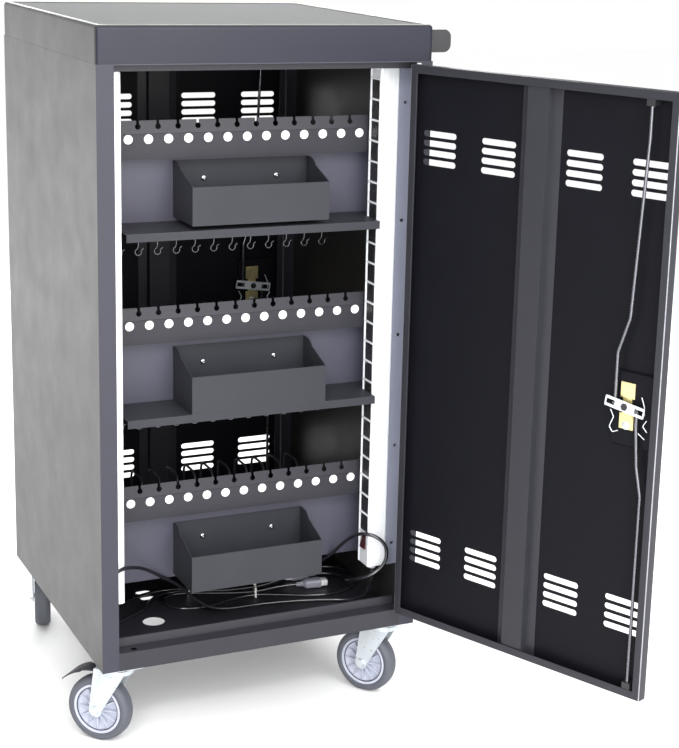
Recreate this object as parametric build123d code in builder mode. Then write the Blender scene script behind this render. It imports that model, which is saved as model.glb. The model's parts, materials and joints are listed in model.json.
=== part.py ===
"""Laptop charging cart: a sheet steel cabinet on four braked casters.

The near door stands open and the far door is closed. Behind the near door are
three tiers of charger trays with slotted cord rails, and a power strip in each
front corner. Lengths are in millimetres. Until the last lines everything lies in
the cabinet's own frame: X to the right from the left side, Y to the rear from the
front face, Z up from the underside. The last lines move it all onto the floor.
"""

from build123d import *
from math import cos, pi, radians, tan
import os

# The cabinet
WIDTH = 620
DEPTH = 628
POST_HEIGHT = 1082
POST_WIDTH = 31
POST_RETURN = 20
SHEET = 1.5
FLOOR_SHEET = 1.5

# The sill under each door, and the strip above it
SILL_HEIGHT = 34
SILL_LEDGE = 32
STOP_HEIGHT = 50
STOP_FOLD = 2.75
HEADER_DROP = 14
HEADER_SETBACK = 22
HEADER_FLANGE = 38

# The cap and the mat in its top
CAP_HEIGHT = 64
CAP_ROUND = 8
CAP_WALL = 3
CAP_RIM = 12
CAP_RIM_DEPTH = 4
CAP_FLANGE_FRONT = 24
CAP_FLANGE_SIDE = 10
MAT_THICKNESS = 2.8
MAT_GAP = 0.5
MAT_CORNER = 6

# The push handle on the right side
HANDLE_REACH = 48
HANDLE_HEIGHT = 41
HANDLE_Z = 1095
HANDLE_BRACKET = 25
HANDLE_INSET = 25
GRIP_WIDTH = 22
GRIP_HEIGHT = 30
GRIP_EDGE = 2
BRACKET_ROUND = 14

# The tiers
TIER_TOPS = (113, 449, 785)
SHELF_FRONT = 58
SHELF_BACK = 600
SHELF_LIP = 15
NOTCH_WIDTH = 68
NOTCH_DEPTH = 125
WALL_Y = 165
WALL_HEIGHT = 150
WALL_FLANGE = 14
LOW_WALL_DROP = 15

# The slotted cord rails
RAIL_Y = 130
RAIL_BOTTOM = 118
RAIL_CREASE = 131
RAIL_BEND = 163
RAIL_TOP = 186.5
RAIL_LEAN = 4
RAIL_RETURN = 8
KEYHOLE_FIRST_X = 75.9
KEYHOLE_PITCH = 37
KEYHOLES = 13
KEYHOLE_RADIUS = 5
KEYHOLE_DROP = 11
KEYHOLE_SLOT = 4.6
DISC_RADIUS = 8.25
DISC_THICKNESS = 0.8
DISC_DROP = 9
DISC_SHIFT = 18.6

# The charger trays and their screws
TRAY_FLOORS = (105, 449, 793)
TRAY_LEFT = 188
TRAY_RIGHT = 449
TRAY_FRONT = 58
TRAY_FRONT_HEIGHT = 69
TRAY_BACK_HEIGHT = 102
TRAY_LEVEL = 18
TRAY_CURVE = 50
SCREW_XS = (246, 387)
SCREW_RISE = 68
SCREW_RADIUS = 3
SCREW_HEAD = 5.5
SCREW_LENGTH = 14

# The wire dividers of the device bays and the cable hooks under the shelves
WIRE = 5
HOOP_FRONT = 350
HOOP_DEPTH = 75
HOOP_HEIGHT = 123
HOOP_CORNER = 16
HOOK_Y = 250
HOOK_DROP = 72
HOOK_RADIUS = 6
HOOK_WIRE = 2.4
HOOK_STRIP = 16

# The power strips
STRIP_INNER = 64
STRIP_WIDTH = 38
STRIP_FRONT = 78
STRIP_DEPTH = 44
STRIP_BOTTOM = 96
STRIP_TOP = 1062
STRIP_ROUND = 3
RIB_FIRST_Z = 200
RIB_PITCH = 38.26
SOCKETS = 23
SOCKET_WIDTH = 33
SOCKET_HEIGHT = 34.5
SOCKET_DEPTH = 9
SOCKET_INSET = 0.6
FACE_HEIGHT = 25
FACE_WIDTH = 26
FACE_DEPTH = 1.5
ROCKER_Z = 144
ROCKER_HEIGHT = 32
ROCKER_WIDTH = 20
ROCKER_POCKET = 12
ROCKER_GAP = 1.5
ROCKER_TILT = 7
ROCKER_PIN = 1.5
ROCKER_PIN_LENGTH = 2
ROCKER_PROUD = 2
ROCKER_BACK = 3
ROCKER_BACK_END = 1
GLAND_RADIUS = 8
GLAND_LENGTH = 10
BRACKET_SHEET = 1.5
BRACKET_DEPTH = 30
BRACKET_HOLE = 3.2
BRACKET_HOLES = (140, 340, 560, 780, 1000)

# Holes in the floor of the cabinet
OUTLET_X = 157
OUTLET_Y = 190
OUTLET_RADIUS = 21
VENT_PAN_X = 182
VENT_PAN_YS = (304, 336)
VENT_PAN_LENGTH = 30
VENT_PAN_WIDTH = 16

# The doors, described closed, with distances across them from the hinge edge
DOOR_GAP = 2
DOOR_BOTTOM_GAP = 3
DOOR_TOP_GAP = 4
DOOR_THICKNESS = 20
DOOR_SHEET = 1.2
DOOR_LIP = 14.5
DOOR_OPEN = 113.6
VENT_LENGTH = 74
VENT_WIDTH = 11
VENT_PITCH = 17
VENTS_PER_GROUP = 4
VENT_GROUPS = (-221, -90, 90, 221)
VENT_CENTRES = (175, 932)
HAT_TOP = 44
HAT_HEIGHT = 16
HAT_FLANGE = 20
HAT_CLEARANCE = 1

# The hinges
HINGE_RADIUS = 5
HINGE_OFFSET = 3
HINGE_CLEARANCE = 0.3
HINGE_BARREL = 28
HINGE_LEAF = 16
HINGE_LEAF_SHEET = 2.4
HINGE_PIN = 3
HINGE_HEAD = 4.4
HINGE_HEAD_HEIGHT = 3
HINGE_MIDDLES = (66, 557, 1048)

# The locks: a turning bar that pulls two rods
LOCK_EDGE = 68
LOCK_Z = 550
LOCK_TURN = 42
LOCK_REST = 8
ROD_OFFSET = 22
LOCK_HOUSING_LEFT = 30
LOCK_HOUSING_RIGHT = 46
LOCK_HOUSING_BOTTOM = 480
LOCK_HOUSING_TOP = 608
LOCK_HOUSING_DEPTH = 7
LOCK_HOUSING_SHEET = 1
CAM_WIDTH = 28
CAM_LENGTH = 81
CAM_WAIST = 18
CAM_SHEET = 1.6
CAM_NUT = 5.5
CAM_NUT_HEIGHT = 3
BAR_LENGTH = 78
BAR_WIDTH = 18
BAR_SHEET = 2
BAR_SLOT_WIDTH = 9
BAR_SLOT_MARGIN = 0.5
ROD_RADIUS = 3
ROD_DEPTH = 13.5
ROD_PIN = 2
SPINDLE_RADIUS = 5
SPINDLE_NUT = 6.5
SPINDLE_NUT_HEIGHT = 2
LEVER_LENGTH = 96
LEVER_WIDTH = 15
LEVER_THICKNESS = 9
LEVER_STANDOFF = 24
COLLAR_RADIUS = 17
COLLAR_HEIGHT = 6
GUIDE_WIDTH = 16
GUIDE_HEIGHT = 18
GUIDE_INSET = 8
ROD_HOLE = 6
FIT = 0.05
CLEARANCE = 0.3

# The casters, described with the swivel axis at the origin and the wheel trailing to +X
CASTER_INSET = 42
CASTER_HEIGHT = 158
WHEEL_RADIUS = 62.5
WHEEL_WIDTH = 32
TREAD_ROUND = 9
HUB_RADIUS = 48
RIM_WIDTH = 6
SPOKES = 5
SPOKE_WIDTH = 11
WEB_THICKNESS = 12
BOSS_RADIUS = 13
AXLE_RADIUS = 5
AXLE_HEAD = 8.5
AXLE_HEAD_HEIGHT = 5
TRAIL = 38
FORK_SHEET = 3
FORK_GAP = 2
PLATE_SIZE = 76
PLATE_THICKNESS = 3
RACE_RADIUS = 29
RACE_HEIGHT = 6
CROWN_HEIGHT = 8
KINGPIN_RADIUS = 6
KINGPIN_HEAD = 9
KINGPIN_HEAD_HEIGHT = 4
PEDAL_PIVOT_X = 30
PEDAL_PIVOT_DROP = 7
PEDAL_PIN = 2.5
PEDAL_BOSS = 5
PEDAL_REACH = 76
PEDAL_SHEET = 3
PEDAL_WIDTH = 44
PEDAL_FALL = 19
PEDAL_RISE = 9.5
CASTER_HEADINGS = (133.5, 125.0, 75.0, 240.0)

# The supply cords, their plugs and ties
CORD_RADIUS = 3.5
CORD_REACH = 0.45
PLUG_WIDTH = 26
PLUG_HEIGHT = 18
PLUG_LENGTH = 34
PLUG_ROUND = 5
PLUG_CAP_WIDTH = 20
PLUG_CAP_HEIGHT = 13
PLUG_CAP_LENGTH = 14
RELIEF_RADIUS = 6
RELIEF_LENGTH = 16
TIE_WIDTH = 4
TIE_SHEET = 1
TIE_TAIL = 17
TIE_SPREAD = 28
TIE_SLACK = 1.2
LOW_STRAND = 6.4
HIGH_STRAND = 16.2

# Sizes that follow from those above
DOOR_WIDTH = WIDTH - 2 * POST_WIDTH - 2 * DOOR_GAP
DOOR_BOTTOM = SILL_HEIGHT + DOOR_BOTTOM_GAP
DOOR_TOP = POST_HEIGHT - DOOR_TOP_GAP
LOCK_ACROSS = DOOR_WIDTH - LOCK_EDGE
CAP_TOP = POST_HEIGHT + CAP_HEIGHT
INNER_LEFT = SHEET
INNER_RIGHT = WIDTH - SHEET
HALF_TURN = Axis((WIDTH / 2, DEPTH / 2, 0), (0, 0, 1))
DOOR_HINGE_EDGE = WIDTH - POST_WIDTH - DOOR_GAP
HINGE_X = DOOR_HINGE_EDGE + HINGE_OFFSET
HINGE_Y = -HINGE_RADIUS - HINGE_CLEARANCE
HINGE_AXIS = Axis((HINGE_X, HINGE_Y, 0), (0, 0, 1))
LOCK_X = DOOR_HINGE_EDGE - LOCK_ACROSS
KEYHOLE_XS = [KEYHOLE_FIRST_X + KEYHOLE_PITCH * i for i in range(KEYHOLES)]

pieces = []


def finish(part, name):
    """Name a finished piece and keep it for the move onto the floor."""
    part.label = name
    pieces.append(part)
    return part


def block(x0, x1, y0, y1, z0, z1, mode=Mode.ADD):
    """A rectangular block between two corners, in the open part."""
    with Locations((x0, y0, z0)):
        Box(x1 - x0, y1 - y0, z1 - z0, align=(Align.MIN, Align.MIN, Align.MIN), mode=mode)


def facing(y):
    """The upright plane at this distance from the front, seen from the front."""
    return Plane(origin=(0, y, 0), x_dir=(1, 0, 0), z_dir=(0, -1, 0))


def bent_strip(points, thickness):
    """A flat strip of sheet with its middle on the given bent line."""
    with BuildSketch(Plane.XY) as strip:
        with BuildLine():
            Polyline(*points)
        trace(line_width=thickness)
    return strip.sketch_local


# Cabinet sheets


def side_panel(name, outer_x, inward):
    """The side wall with both posts and their returns, one bent sheet."""
    wall = outer_x + inward * SHEET / 2
    post = outer_x + inward * (POST_WIDTH - SHEET / 2)
    half = SHEET / 2
    profile = bent_strip(
        [
            (post, POST_RETURN),
            (post, half),
            (wall, half),
            (wall, DEPTH - half),
            (post, DEPTH - half),
            (post, DEPTH - POST_RETURN),
        ],
        SHEET,
    )
    with BuildPart() as panel:
        with BuildSketch(Plane.XY):
            add(profile)
        extrude(amount=POST_HEIGHT)
    return finish(panel.part, name)


side_panel("side_panel_left", 0, 1)
side_panel("side_panel_right", WIDTH, -1)

# The floor sheet lies inside the side walls, and each door has a folded sill on it.
half = SHEET / 2
sill_profile = bent_strip(
    [
        (half, 0),
        (half, SILL_HEIGHT - half),
        (SILL_LEDGE - half, SILL_HEIGHT - half),
        (SILL_LEDGE - half, STOP_HEIGHT - half),
        (SILL_LEDGE - half + STOP_FOLD, STOP_HEIGHT - half),
        (SILL_LEDGE - half + STOP_FOLD, 0),
    ],
    SHEET,
)
UPPER_ROD_ACROSS = [DOOR_WIDTH - inset for inset in (90, 90, 70, 55, 55)]
UPPER_ROD_ZS = (546, 640, 702, 1000, DOOR_TOP - DOOR_SHEET / 2)
LOWER_ROD_ACROSS = [DOOR_WIDTH - inset for inset in (46, 46, 40, 29, 29)]
LOWER_ROD_ZS = (554, 520, 450, 400, DOOR_BOTTOM + DOOR_SHEET / 2)
upper_hole_x = DOOR_HINGE_EDGE - UPPER_ROD_ACROSS[-1]
lower_hole_x = DOOR_HINGE_EDGE - LOWER_ROD_ACROSS[-1]

with BuildPart() as base_pan:
    with BuildSketch(Plane.YZ.offset(POST_WIDTH)):
        add(sill_profile)
    extrude(amount=WIDTH - 2 * POST_WIDTH)
    mirror(about=Plane.XZ.offset(-DEPTH / 2))
    block(INNER_LEFT, INNER_RIGHT, POST_RETURN, DEPTH - POST_RETURN, 0, FLOOR_SHEET)
    block(POST_WIDTH, WIDTH - POST_WIDTH, SHEET / 2, DEPTH - SHEET / 2, 0, FLOOR_SHEET)
    with Locations((OUTLET_X, OUTLET_Y, FLOOR_SHEET)):
        Hole(OUTLET_RADIUS)
    for vent_y in VENT_PAN_YS:
        with BuildSketch(Plane.XY):
            with Locations((VENT_PAN_X, vent_y)):
                SlotOverall(VENT_PAN_LENGTH, VENT_PAN_WIDTH)
        extrude(amount=FLOOR_SHEET, mode=Mode.SUBTRACT)
    for hole_x, hole_y in ((lower_hole_x, ROD_DEPTH), (WIDTH - lower_hole_x, DEPTH - ROD_DEPTH)):
        with BuildSketch(Plane.XY.offset(SILL_HEIGHT - SHEET)):
            with Locations((hole_x, hole_y)):
                Circle(ROD_HOLE)
        extrude(amount=SHEET, mode=Mode.SUBTRACT)
finish(base_pan.part, "base_pan")

# A strip hangs behind the top edge of each doorway, with a flange under the cap.
header_profile = bent_strip(
    [
        (HEADER_SETBACK + half, POST_HEIGHT - HEADER_DROP),
        (HEADER_SETBACK + half, POST_HEIGHT - half),
        (HEADER_SETBACK + HEADER_FLANGE, POST_HEIGHT - half),
    ],
    SHEET,
)
with BuildPart() as headers:
    with BuildSketch(Plane.YZ.offset(INNER_LEFT)):
        add(header_profile)
    extrude(amount=INNER_RIGHT - INNER_LEFT)
    mirror(about=Plane.XZ.offset(-DEPTH / 2))
finish(headers.part, "headers")

# The cap is a hollow lid. Its underside is a flange, and its top is sunk for the mat.
with BuildPart() as top_cap:
    with BuildSketch(Plane.XY.offset(POST_HEIGHT)):
        with Locations((WIDTH / 2, DEPTH / 2)):
            RectangleRounded(WIDTH, DEPTH, CAP_ROUND)
    extrude(amount=CAP_HEIGHT)
    fillet(top_cap.faces().sort_by(Axis.Z)[-1].edges(), CAP_ROUND - 0.5)
    with BuildSketch(Plane.XY.offset(CAP_TOP)):
        with Locations((WIDTH / 2, DEPTH / 2)):
            RectangleRounded(WIDTH - 2 * CAP_RIM, DEPTH - 2 * CAP_RIM, MAT_CORNER)
    extrude(amount=-CAP_RIM_DEPTH, mode=Mode.SUBTRACT)
    block(
        CAP_WALL,
        WIDTH - CAP_WALL,
        CAP_WALL,
        DEPTH - CAP_WALL,
        POST_HEIGHT + SHEET,
        CAP_TOP - CAP_RIM_DEPTH - SHEET,
        mode=Mode.SUBTRACT,
    )
    block(
        CAP_FLANGE_SIDE,
        WIDTH - CAP_FLANGE_SIDE,
        CAP_FLANGE_FRONT,
        DEPTH - CAP_FLANGE_FRONT,
        POST_HEIGHT,
        POST_HEIGHT + SHEET,
        mode=Mode.SUBTRACT,
    )
    for hole_x, hole_y in ((upper_hole_x, ROD_DEPTH), (WIDTH - upper_hole_x, DEPTH - ROD_DEPTH)):
        with BuildSketch(Plane.XY.offset(POST_HEIGHT)):
            with Locations((hole_x, hole_y)):
                Circle(ROD_HOLE)
        extrude(amount=SHEET, mode=Mode.SUBTRACT)
finish(top_cap.part, "top_cap")

with BuildPart() as top_mat:
    with BuildSketch(Plane.XY.offset(CAP_TOP - CAP_RIM_DEPTH)):
        with Locations((WIDTH / 2, DEPTH / 2)):
            RectangleRounded(
                WIDTH - 2 * CAP_RIM - 2 * MAT_GAP,
                DEPTH - 2 * CAP_RIM - 2 * MAT_GAP,
                MAT_CORNER - MAT_GAP,
            )
    extrude(amount=MAT_THICKNESS)
finish(top_mat.part, "top_mat")

# The handle's grip runs between two end brackets on the cap's right side.
grip_x = WIDTH + HANDLE_REACH - GRIP_EDGE - GRIP_WIDTH / 2
grip_z = HANDLE_Z + HANDLE_HEIGHT / 2
bracket_ys = (HANDLE_INSET, DEPTH - HANDLE_INSET - HANDLE_BRACKET)
with BuildPart() as push_handle:
    for bracket_y in bracket_ys:
        with BuildSketch(facing(bracket_y)) as bracket_outline:
            with Locations((WIDTH + HANDLE_REACH / 2, grip_z)):
                Rectangle(HANDLE_REACH, HANDLE_HEIGHT)
            fillet(bracket_outline.vertices().group_by(Axis.X)[-1], BRACKET_ROUND)
        extrude(amount=-HANDLE_BRACKET)
with BuildPart() as grip:
    with BuildSketch(facing(HANDLE_INSET + HANDLE_BRACKET)):
        with Locations((grip_x, grip_z)):
            SlotOverall(GRIP_HEIGHT, GRIP_WIDTH, rotation=90)
    extrude(amount=-(DEPTH - 2 * HANDLE_INSET - 2 * HANDLE_BRACKET))
finish(Part() + [push_handle.part, grip.part], "push_handle")

# Tiers

# The two upper shelves reach the front and are notched round the power strips.
# The lowest starts behind the lowest tray.
with BuildPart() as device_shelves:
    for level, top in enumerate(TIER_TOPS):
        front = WALL_Y + SHEET if level == 0 else SHELF_FRONT
        lip_left = INNER_LEFT if level == 0 else NOTCH_WIDTH
        lip_right = WIDTH - lip_left
        block(INNER_LEFT, INNER_RIGHT, front, SHELF_BACK, top - SHEET, top)
        if level > 0:
            block(INNER_LEFT, NOTCH_WIDTH, front, NOTCH_DEPTH, top - SHEET, top, mode=Mode.SUBTRACT)
            block(lip_right, INNER_RIGHT, front, NOTCH_DEPTH, top - SHEET, top, mode=Mode.SUBTRACT)
        block(lip_left, lip_right, front, front + SHEET, top - SHELF_LIP, top)
        block(INNER_LEFT, INNER_RIGHT, SHELF_BACK - SHEET, SHELF_BACK, top - SHELF_LIP, top)
finish(device_shelves.part, "device_shelves")

# A low wall stands behind the trays of each tier.
with BuildPart() as cord_walls:
    for level, top in enumerate(TIER_TOPS):
        foot = top - LOW_WALL_DROP if level == 0 else top
        block(INNER_LEFT, INNER_RIGHT, WALL_Y, WALL_Y + SHEET, foot, top + WALL_HEIGHT)
        if level > 0:
            block(INNER_LEFT, INNER_RIGHT, WALL_Y, WALL_Y + WALL_FLANGE, top, top + SHEET)
        with BuildSketch(facing(WALL_Y - SHEET)):
            with Locations(*[(x, TRAY_FLOORS[level] + SCREW_RISE) for x in SCREW_XS]):
                Circle(SCREW_RADIUS + FIT)
        extrude(amount=-3 * SHEET, mode=Mode.SUBTRACT)
finish(cord_walls.part, "cord_walls")

# Each rail is a bent strip with a row of keyholes along its leaning top.
with BuildPart() as cord_rails:
    for top in TIER_TOPS:
        face = RAIL_Y + SHEET / 2
        profile = bent_strip(
            [
                (face + RAIL_RETURN + RAIL_LEAN / 2, top + RAIL_BOTTOM + half),
                (face + RAIL_LEAN / 2, top + RAIL_BOTTOM + half),
                (face, top + RAIL_CREASE),
                (face, top + RAIL_BEND),
                (face + RAIL_LEAN, top + RAIL_TOP),
            ],
            SHEET,
        )
        with BuildSketch(Plane.YZ.offset(INNER_LEFT)):
            add(profile)
        extrude(amount=INNER_RIGHT - INNER_LEFT)
        hole_z = top + RAIL_TOP - KEYHOLE_DROP
        with BuildSketch(facing(RAIL_Y - RAIL_LEAN)):
            with Locations(*[(x, hole_z) for x in KEYHOLE_XS]):
                RegularPolygon(KEYHOLE_RADIUS, 6, major_radius=True)
            with Locations(*[(x, hole_z + KEYHOLE_DROP) for x in KEYHOLE_XS]):
                Rectangle(KEYHOLE_SLOT, 2 * KEYHOLE_DROP)
        extrude(amount=-3 * RAIL_LEAN, mode=Mode.SUBTRACT)
finish(cord_rails.part, "cord_rails")

with BuildPart() as number_discs:
    for top in TIER_TOPS:
        with BuildSketch(facing(RAIL_Y)):
            with Locations(*[(x + DISC_SHIFT, top + RAIL_BEND - DISC_DROP) for x in KEYHOLE_XS]):
                RegularPolygon(DISC_RADIUS, 12, major_radius=True)
        extrude(amount=DISC_THICKNESS)
finish(number_discs.part, "number_discs")


def tray_side(tray_floor):
    """The side view of a tray: level at the back, then a curve down to the front edge."""
    high = tray_floor + TRAY_BACK_HEIGHT
    low = tray_floor + TRAY_FRONT_HEIGHT
    level_end = (WALL_Y - TRAY_LEVEL, high)
    with BuildSketch(Plane.XY) as side:
        with BuildLine():
            Polyline((TRAY_FRONT, low), (TRAY_FRONT, tray_floor), (WALL_Y, tray_floor), (WALL_Y, high), level_end)
            arc = JernArc(level_end, (-1, 0), TRAY_BACK_HEIGHT - TRAY_FRONT_HEIGHT, TRAY_CURVE)
            Line(arc @ 1, (TRAY_FRONT, low))
        make_face()
    return side.sketch_local


with BuildPart() as adapter_trays:
    for tray_floor in TRAY_FLOORS:
        with BuildSketch(Plane.YZ.offset(TRAY_LEFT)):
            add(tray_side(tray_floor))
        extrude(amount=TRAY_RIGHT - TRAY_LEFT)
        block(
            TRAY_LEFT + SHEET,
            TRAY_RIGHT - SHEET,
            TRAY_FRONT + SHEET,
            WALL_Y - SHEET,
            tray_floor + SHEET,
            tray_floor + TRAY_BACK_HEIGHT,
            mode=Mode.SUBTRACT,
        )
        with BuildSketch(facing(WALL_Y - 2 * SHEET)):
            with Locations(*[(x, tray_floor + SCREW_RISE) for x in SCREW_XS]):
                Circle(SCREW_RADIUS + FIT)
        extrude(amount=-2 * SHEET, mode=Mode.SUBTRACT)
finish(adapter_trays.part, "adapter_trays")

# Two screws hold each tray to the wall behind it.
with BuildPart() as tray_screws:
    for tray_floor in TRAY_FLOORS:
        spots = [(x, tray_floor + SCREW_RISE) for x in SCREW_XS]
        with BuildSketch(facing(WALL_Y - SHEET)):
            with Locations(*spots):
                Circle(SCREW_HEAD)
        extrude(amount=SCREW_RADIUS)
        with BuildSketch(facing(WALL_Y - SHEET)):
            with Locations(*spots):
                Circle(SCREW_RADIUS)
        extrude(amount=-SCREW_LENGTH)
finish(tray_screws.part, "tray_screws")

# Wire hoops part the devices, and a row of open rings hangs under each upper shelf.
with BuildPart() as hoop:
    with BuildSketch(Plane.YZ.offset(-WIRE / 2)) as hoop_outline:
        with Locations((HOOP_FRONT, 0)):
            Rectangle(HOOP_DEPTH, HOOP_HEIGHT, align=(Align.MIN, Align.MIN))
        chamfer(hoop_outline.vertices().group_by(Axis.Y)[-1], HOOP_CORNER)
        with BuildLine():
            inner_front = HOOP_FRONT + WIRE
            inner_back = HOOP_FRONT + HOOP_DEPTH - WIRE
            inner_top = HOOP_HEIGHT - WIRE
            Polyline(
                (inner_front, 0),
                (inner_front, inner_top - HOOP_CORNER),
                (inner_front + HOOP_CORNER, inner_top),
                (inner_back - HOOP_CORNER, inner_top),
                (inner_back, inner_top - HOOP_CORNER),
                (inner_back, 0),
                close=True,
            )
        make_face(mode=Mode.SUBTRACT)
    extrude(amount=WIRE)

with BuildPart() as hook_row:
    block(
        KEYHOLE_XS[0] - HOOK_STRIP,
        KEYHOLE_XS[-1] + HOOK_STRIP,
        HOOK_Y - HOOK_STRIP / 2,
        HOOK_Y + HOOK_STRIP / 2,
        -2 * SHEET,
        -SHEET,
    )
    with BuildSketch(facing(HOOK_Y)):
        with Locations(*[(x, -HOOK_DROP) for x in KEYHOLE_XS]):
            RegularPolygon(HOOK_RADIUS, 8)
            RegularPolygon(HOOK_RADIUS - HOOK_WIRE, 8, mode=Mode.SUBTRACT)
        with Locations(*[(x + HOOK_RADIUS, HOOK_RADIUS - HOOK_DROP) for x in KEYHOLE_XS]):
            Rectangle(HOOK_RADIUS, HOOK_RADIUS, mode=Mode.SUBTRACT)
        with Locations(*[(x, HOOK_RADIUS - HOOK_WIRE / 2 - HOOK_DROP) for x in KEYHOLE_XS]):
            Rectangle(HOOK_WIRE, HOOK_DROP - HOOK_RADIUS - SHEET, align=(Align.CENTER, Align.MIN))
    extrude(amount=-HOOK_WIRE)

with BuildPart() as divider_wires:
    with Locations(*[(x, 0, top) for x in KEYHOLE_XS for top in TIER_TOPS]):
        add(hoop.part)
    with Locations(*[(0, 0, top) for top in TIER_TOPS[1:]]):
        add(hook_row.part)
finish(divider_wires.part, "divider_wires")

# Power strips, one in each front corner


def strip_housing():
    """The right power strip's housing: pockets for the sockets and the rocker, and a cord gland."""
    left = WIDTH - STRIP_INNER
    right = left + STRIP_WIDTH
    middle_y = STRIP_FRONT + STRIP_DEPTH / 2
    with BuildPart() as housing:
        with BuildSketch(Plane.XY.offset(STRIP_BOTTOM)):
            with Locations(((left + right) / 2, middle_y)):
                RectangleRounded(STRIP_WIDTH, STRIP_DEPTH, STRIP_ROUND)
        extrude(amount=STRIP_TOP - STRIP_BOTTOM)
        with Locations(*[(left, middle_y, RIB_FIRST_Z + RIB_PITCH * (i - 0.5)) for i in range(SOCKETS)]):
            Box(
                SOCKET_DEPTH,
                SOCKET_WIDTH,
                SOCKET_HEIGHT,
                align=(Align.MIN, Align.CENTER, Align.CENTER),
                mode=Mode.SUBTRACT,
            )
        block(
            left,
            left + ROCKER_POCKET,
            middle_y - ROCKER_WIDTH / 2 - ROCKER_GAP / 3,
            middle_y + ROCKER_WIDTH / 2 + ROCKER_GAP / 3,
            ROCKER_Z - ROCKER_HEIGHT / 2 - ROCKER_GAP,
            ROCKER_Z + ROCKER_HEIGHT / 2 + ROCKER_GAP,
            mode=Mode.SUBTRACT,
        )
        pin_span = ROCKER_WIDTH + 2 * ROCKER_PIN_LENGTH
        with BuildSketch(facing(middle_y - pin_span / 2)):
            with Locations((left + ROCKER_POCKET / 2, ROCKER_Z)):
                Circle(ROCKER_PIN + FIT)
        extrude(amount=-pin_span, mode=Mode.SUBTRACT)
        with BuildSketch(Plane.XY.offset(STRIP_BOTTOM)):
            with Locations(((left + right) / 2, middle_y)):
                Circle(GLAND_RADIUS)
        extrude(amount=-GLAND_LENGTH)
    return housing.part


def strip_sockets():
    """The right power strip's outlets, each with a raised face."""
    left = WIDTH - STRIP_INNER
    middle_y = STRIP_FRONT + STRIP_DEPTH / 2
    middles = [RIB_FIRST_Z + RIB_PITCH * (index - 0.5) for index in range(SOCKETS)]
    in_corner = (Align.MIN, Align.CENTER, Align.CENTER)
    with BuildPart() as sockets:
        with Locations(*[(left + SOCKET_INSET, middle_y, z) for z in middles]):
            Box(SOCKET_DEPTH - SOCKET_INSET, SOCKET_WIDTH, SOCKET_HEIGHT, align=in_corner)
        with Locations(*[(left + SOCKET_INSET - FACE_DEPTH, middle_y, z) for z in middles]):
            Box(FACE_DEPTH, FACE_WIDTH, FACE_HEIGHT, align=in_corner)
    return sockets.part


def strip_bracket():
    """A bent strip that screws the right power strip to the side wall."""
    strip_side = WIDTH - STRIP_INNER + STRIP_WIDTH + BRACKET_SHEET / 2
    wall_side = INNER_RIGHT - BRACKET_SHEET / 2
    front = STRIP_FRONT + BRACKET_SHEET / 2
    profile = bent_strip(
        [
            (strip_side, STRIP_FRONT + BRACKET_DEPTH),
            (strip_side, front),
            (wall_side, front),
            (wall_side, STRIP_FRONT + BRACKET_DEPTH),
        ],
        BRACKET_SHEET,
    )
    with BuildPart() as bracket:
        with BuildSketch(Plane.XY.offset(STRIP_BOTTOM)):
            add(profile)
        extrude(amount=STRIP_TOP - STRIP_BOTTOM)
        with BuildSketch(facing(STRIP_FRONT)):
            with Locations(*[((strip_side + wall_side) / 2, z) for z in BRACKET_HOLES]):
                Circle(BRACKET_HOLE)
        extrude(amount=-BRACKET_SHEET, mode=Mode.SUBTRACT)
    return bracket.part


def strip_rocker():
    """The right power strip's switch, with its upper end pressed in."""
    left = WIDTH - STRIP_INNER
    pivot_x = left + ROCKER_POCKET / 2
    middle_y = STRIP_FRONT + STRIP_DEPTH / 2
    low = ROCKER_Z - ROCKER_HEIGHT / 2
    high = ROCKER_Z + ROCKER_HEIGHT / 2
    with BuildPart() as rocker:
        with BuildSketch(facing(middle_y - ROCKER_WIDTH / 2)):
            with BuildLine():
                Polyline(
                    (left - ROCKER_PROUD, low),
                    (left, ROCKER_Z),
                    (left - ROCKER_PROUD, high),
                    (pivot_x + ROCKER_BACK_END, high - ROCKER_PROUD),
                    (pivot_x + ROCKER_BACK, ROCKER_Z),
                    (pivot_x + ROCKER_BACK_END, low + ROCKER_PROUD),
                    close=True,
                )
            make_face()
        extrude(amount=-ROCKER_WIDTH)
        with BuildSketch(facing(middle_y - ROCKER_WIDTH / 2 - ROCKER_PIN_LENGTH)):
            with Locations((pivot_x, ROCKER_Z)):
                Circle(ROCKER_PIN)
        extrude(amount=-(ROCKER_WIDTH + 2 * ROCKER_PIN_LENGTH))
    return rocker.part.rotate(Axis((pivot_x, 0, ROCKER_Z), (0, 1, 0)), ROCKER_TILT)


MIDDLE = Plane.YZ.offset(WIDTH / 2)
for name, make in (
    ("power_strip_housings", strip_housing),
    ("power_strip_sockets", strip_sockets),
    ("power_strip_brackets", strip_bracket),
):
    right_one = make()
    finish(Part() + [right_one, mirror(right_one, about=MIDDLE)], name)
right_rocker = strip_rocker()
finish(mirror(right_rocker, about=MIDDLE), "rocker_left")
finish(right_rocker, "rocker_right")

# Doors, made closed in the front doorway


def door_x(across):
    """The place across the cabinet of a distance from the door's hinge edge."""
    return DOOR_HINGE_EDGE - across


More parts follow.
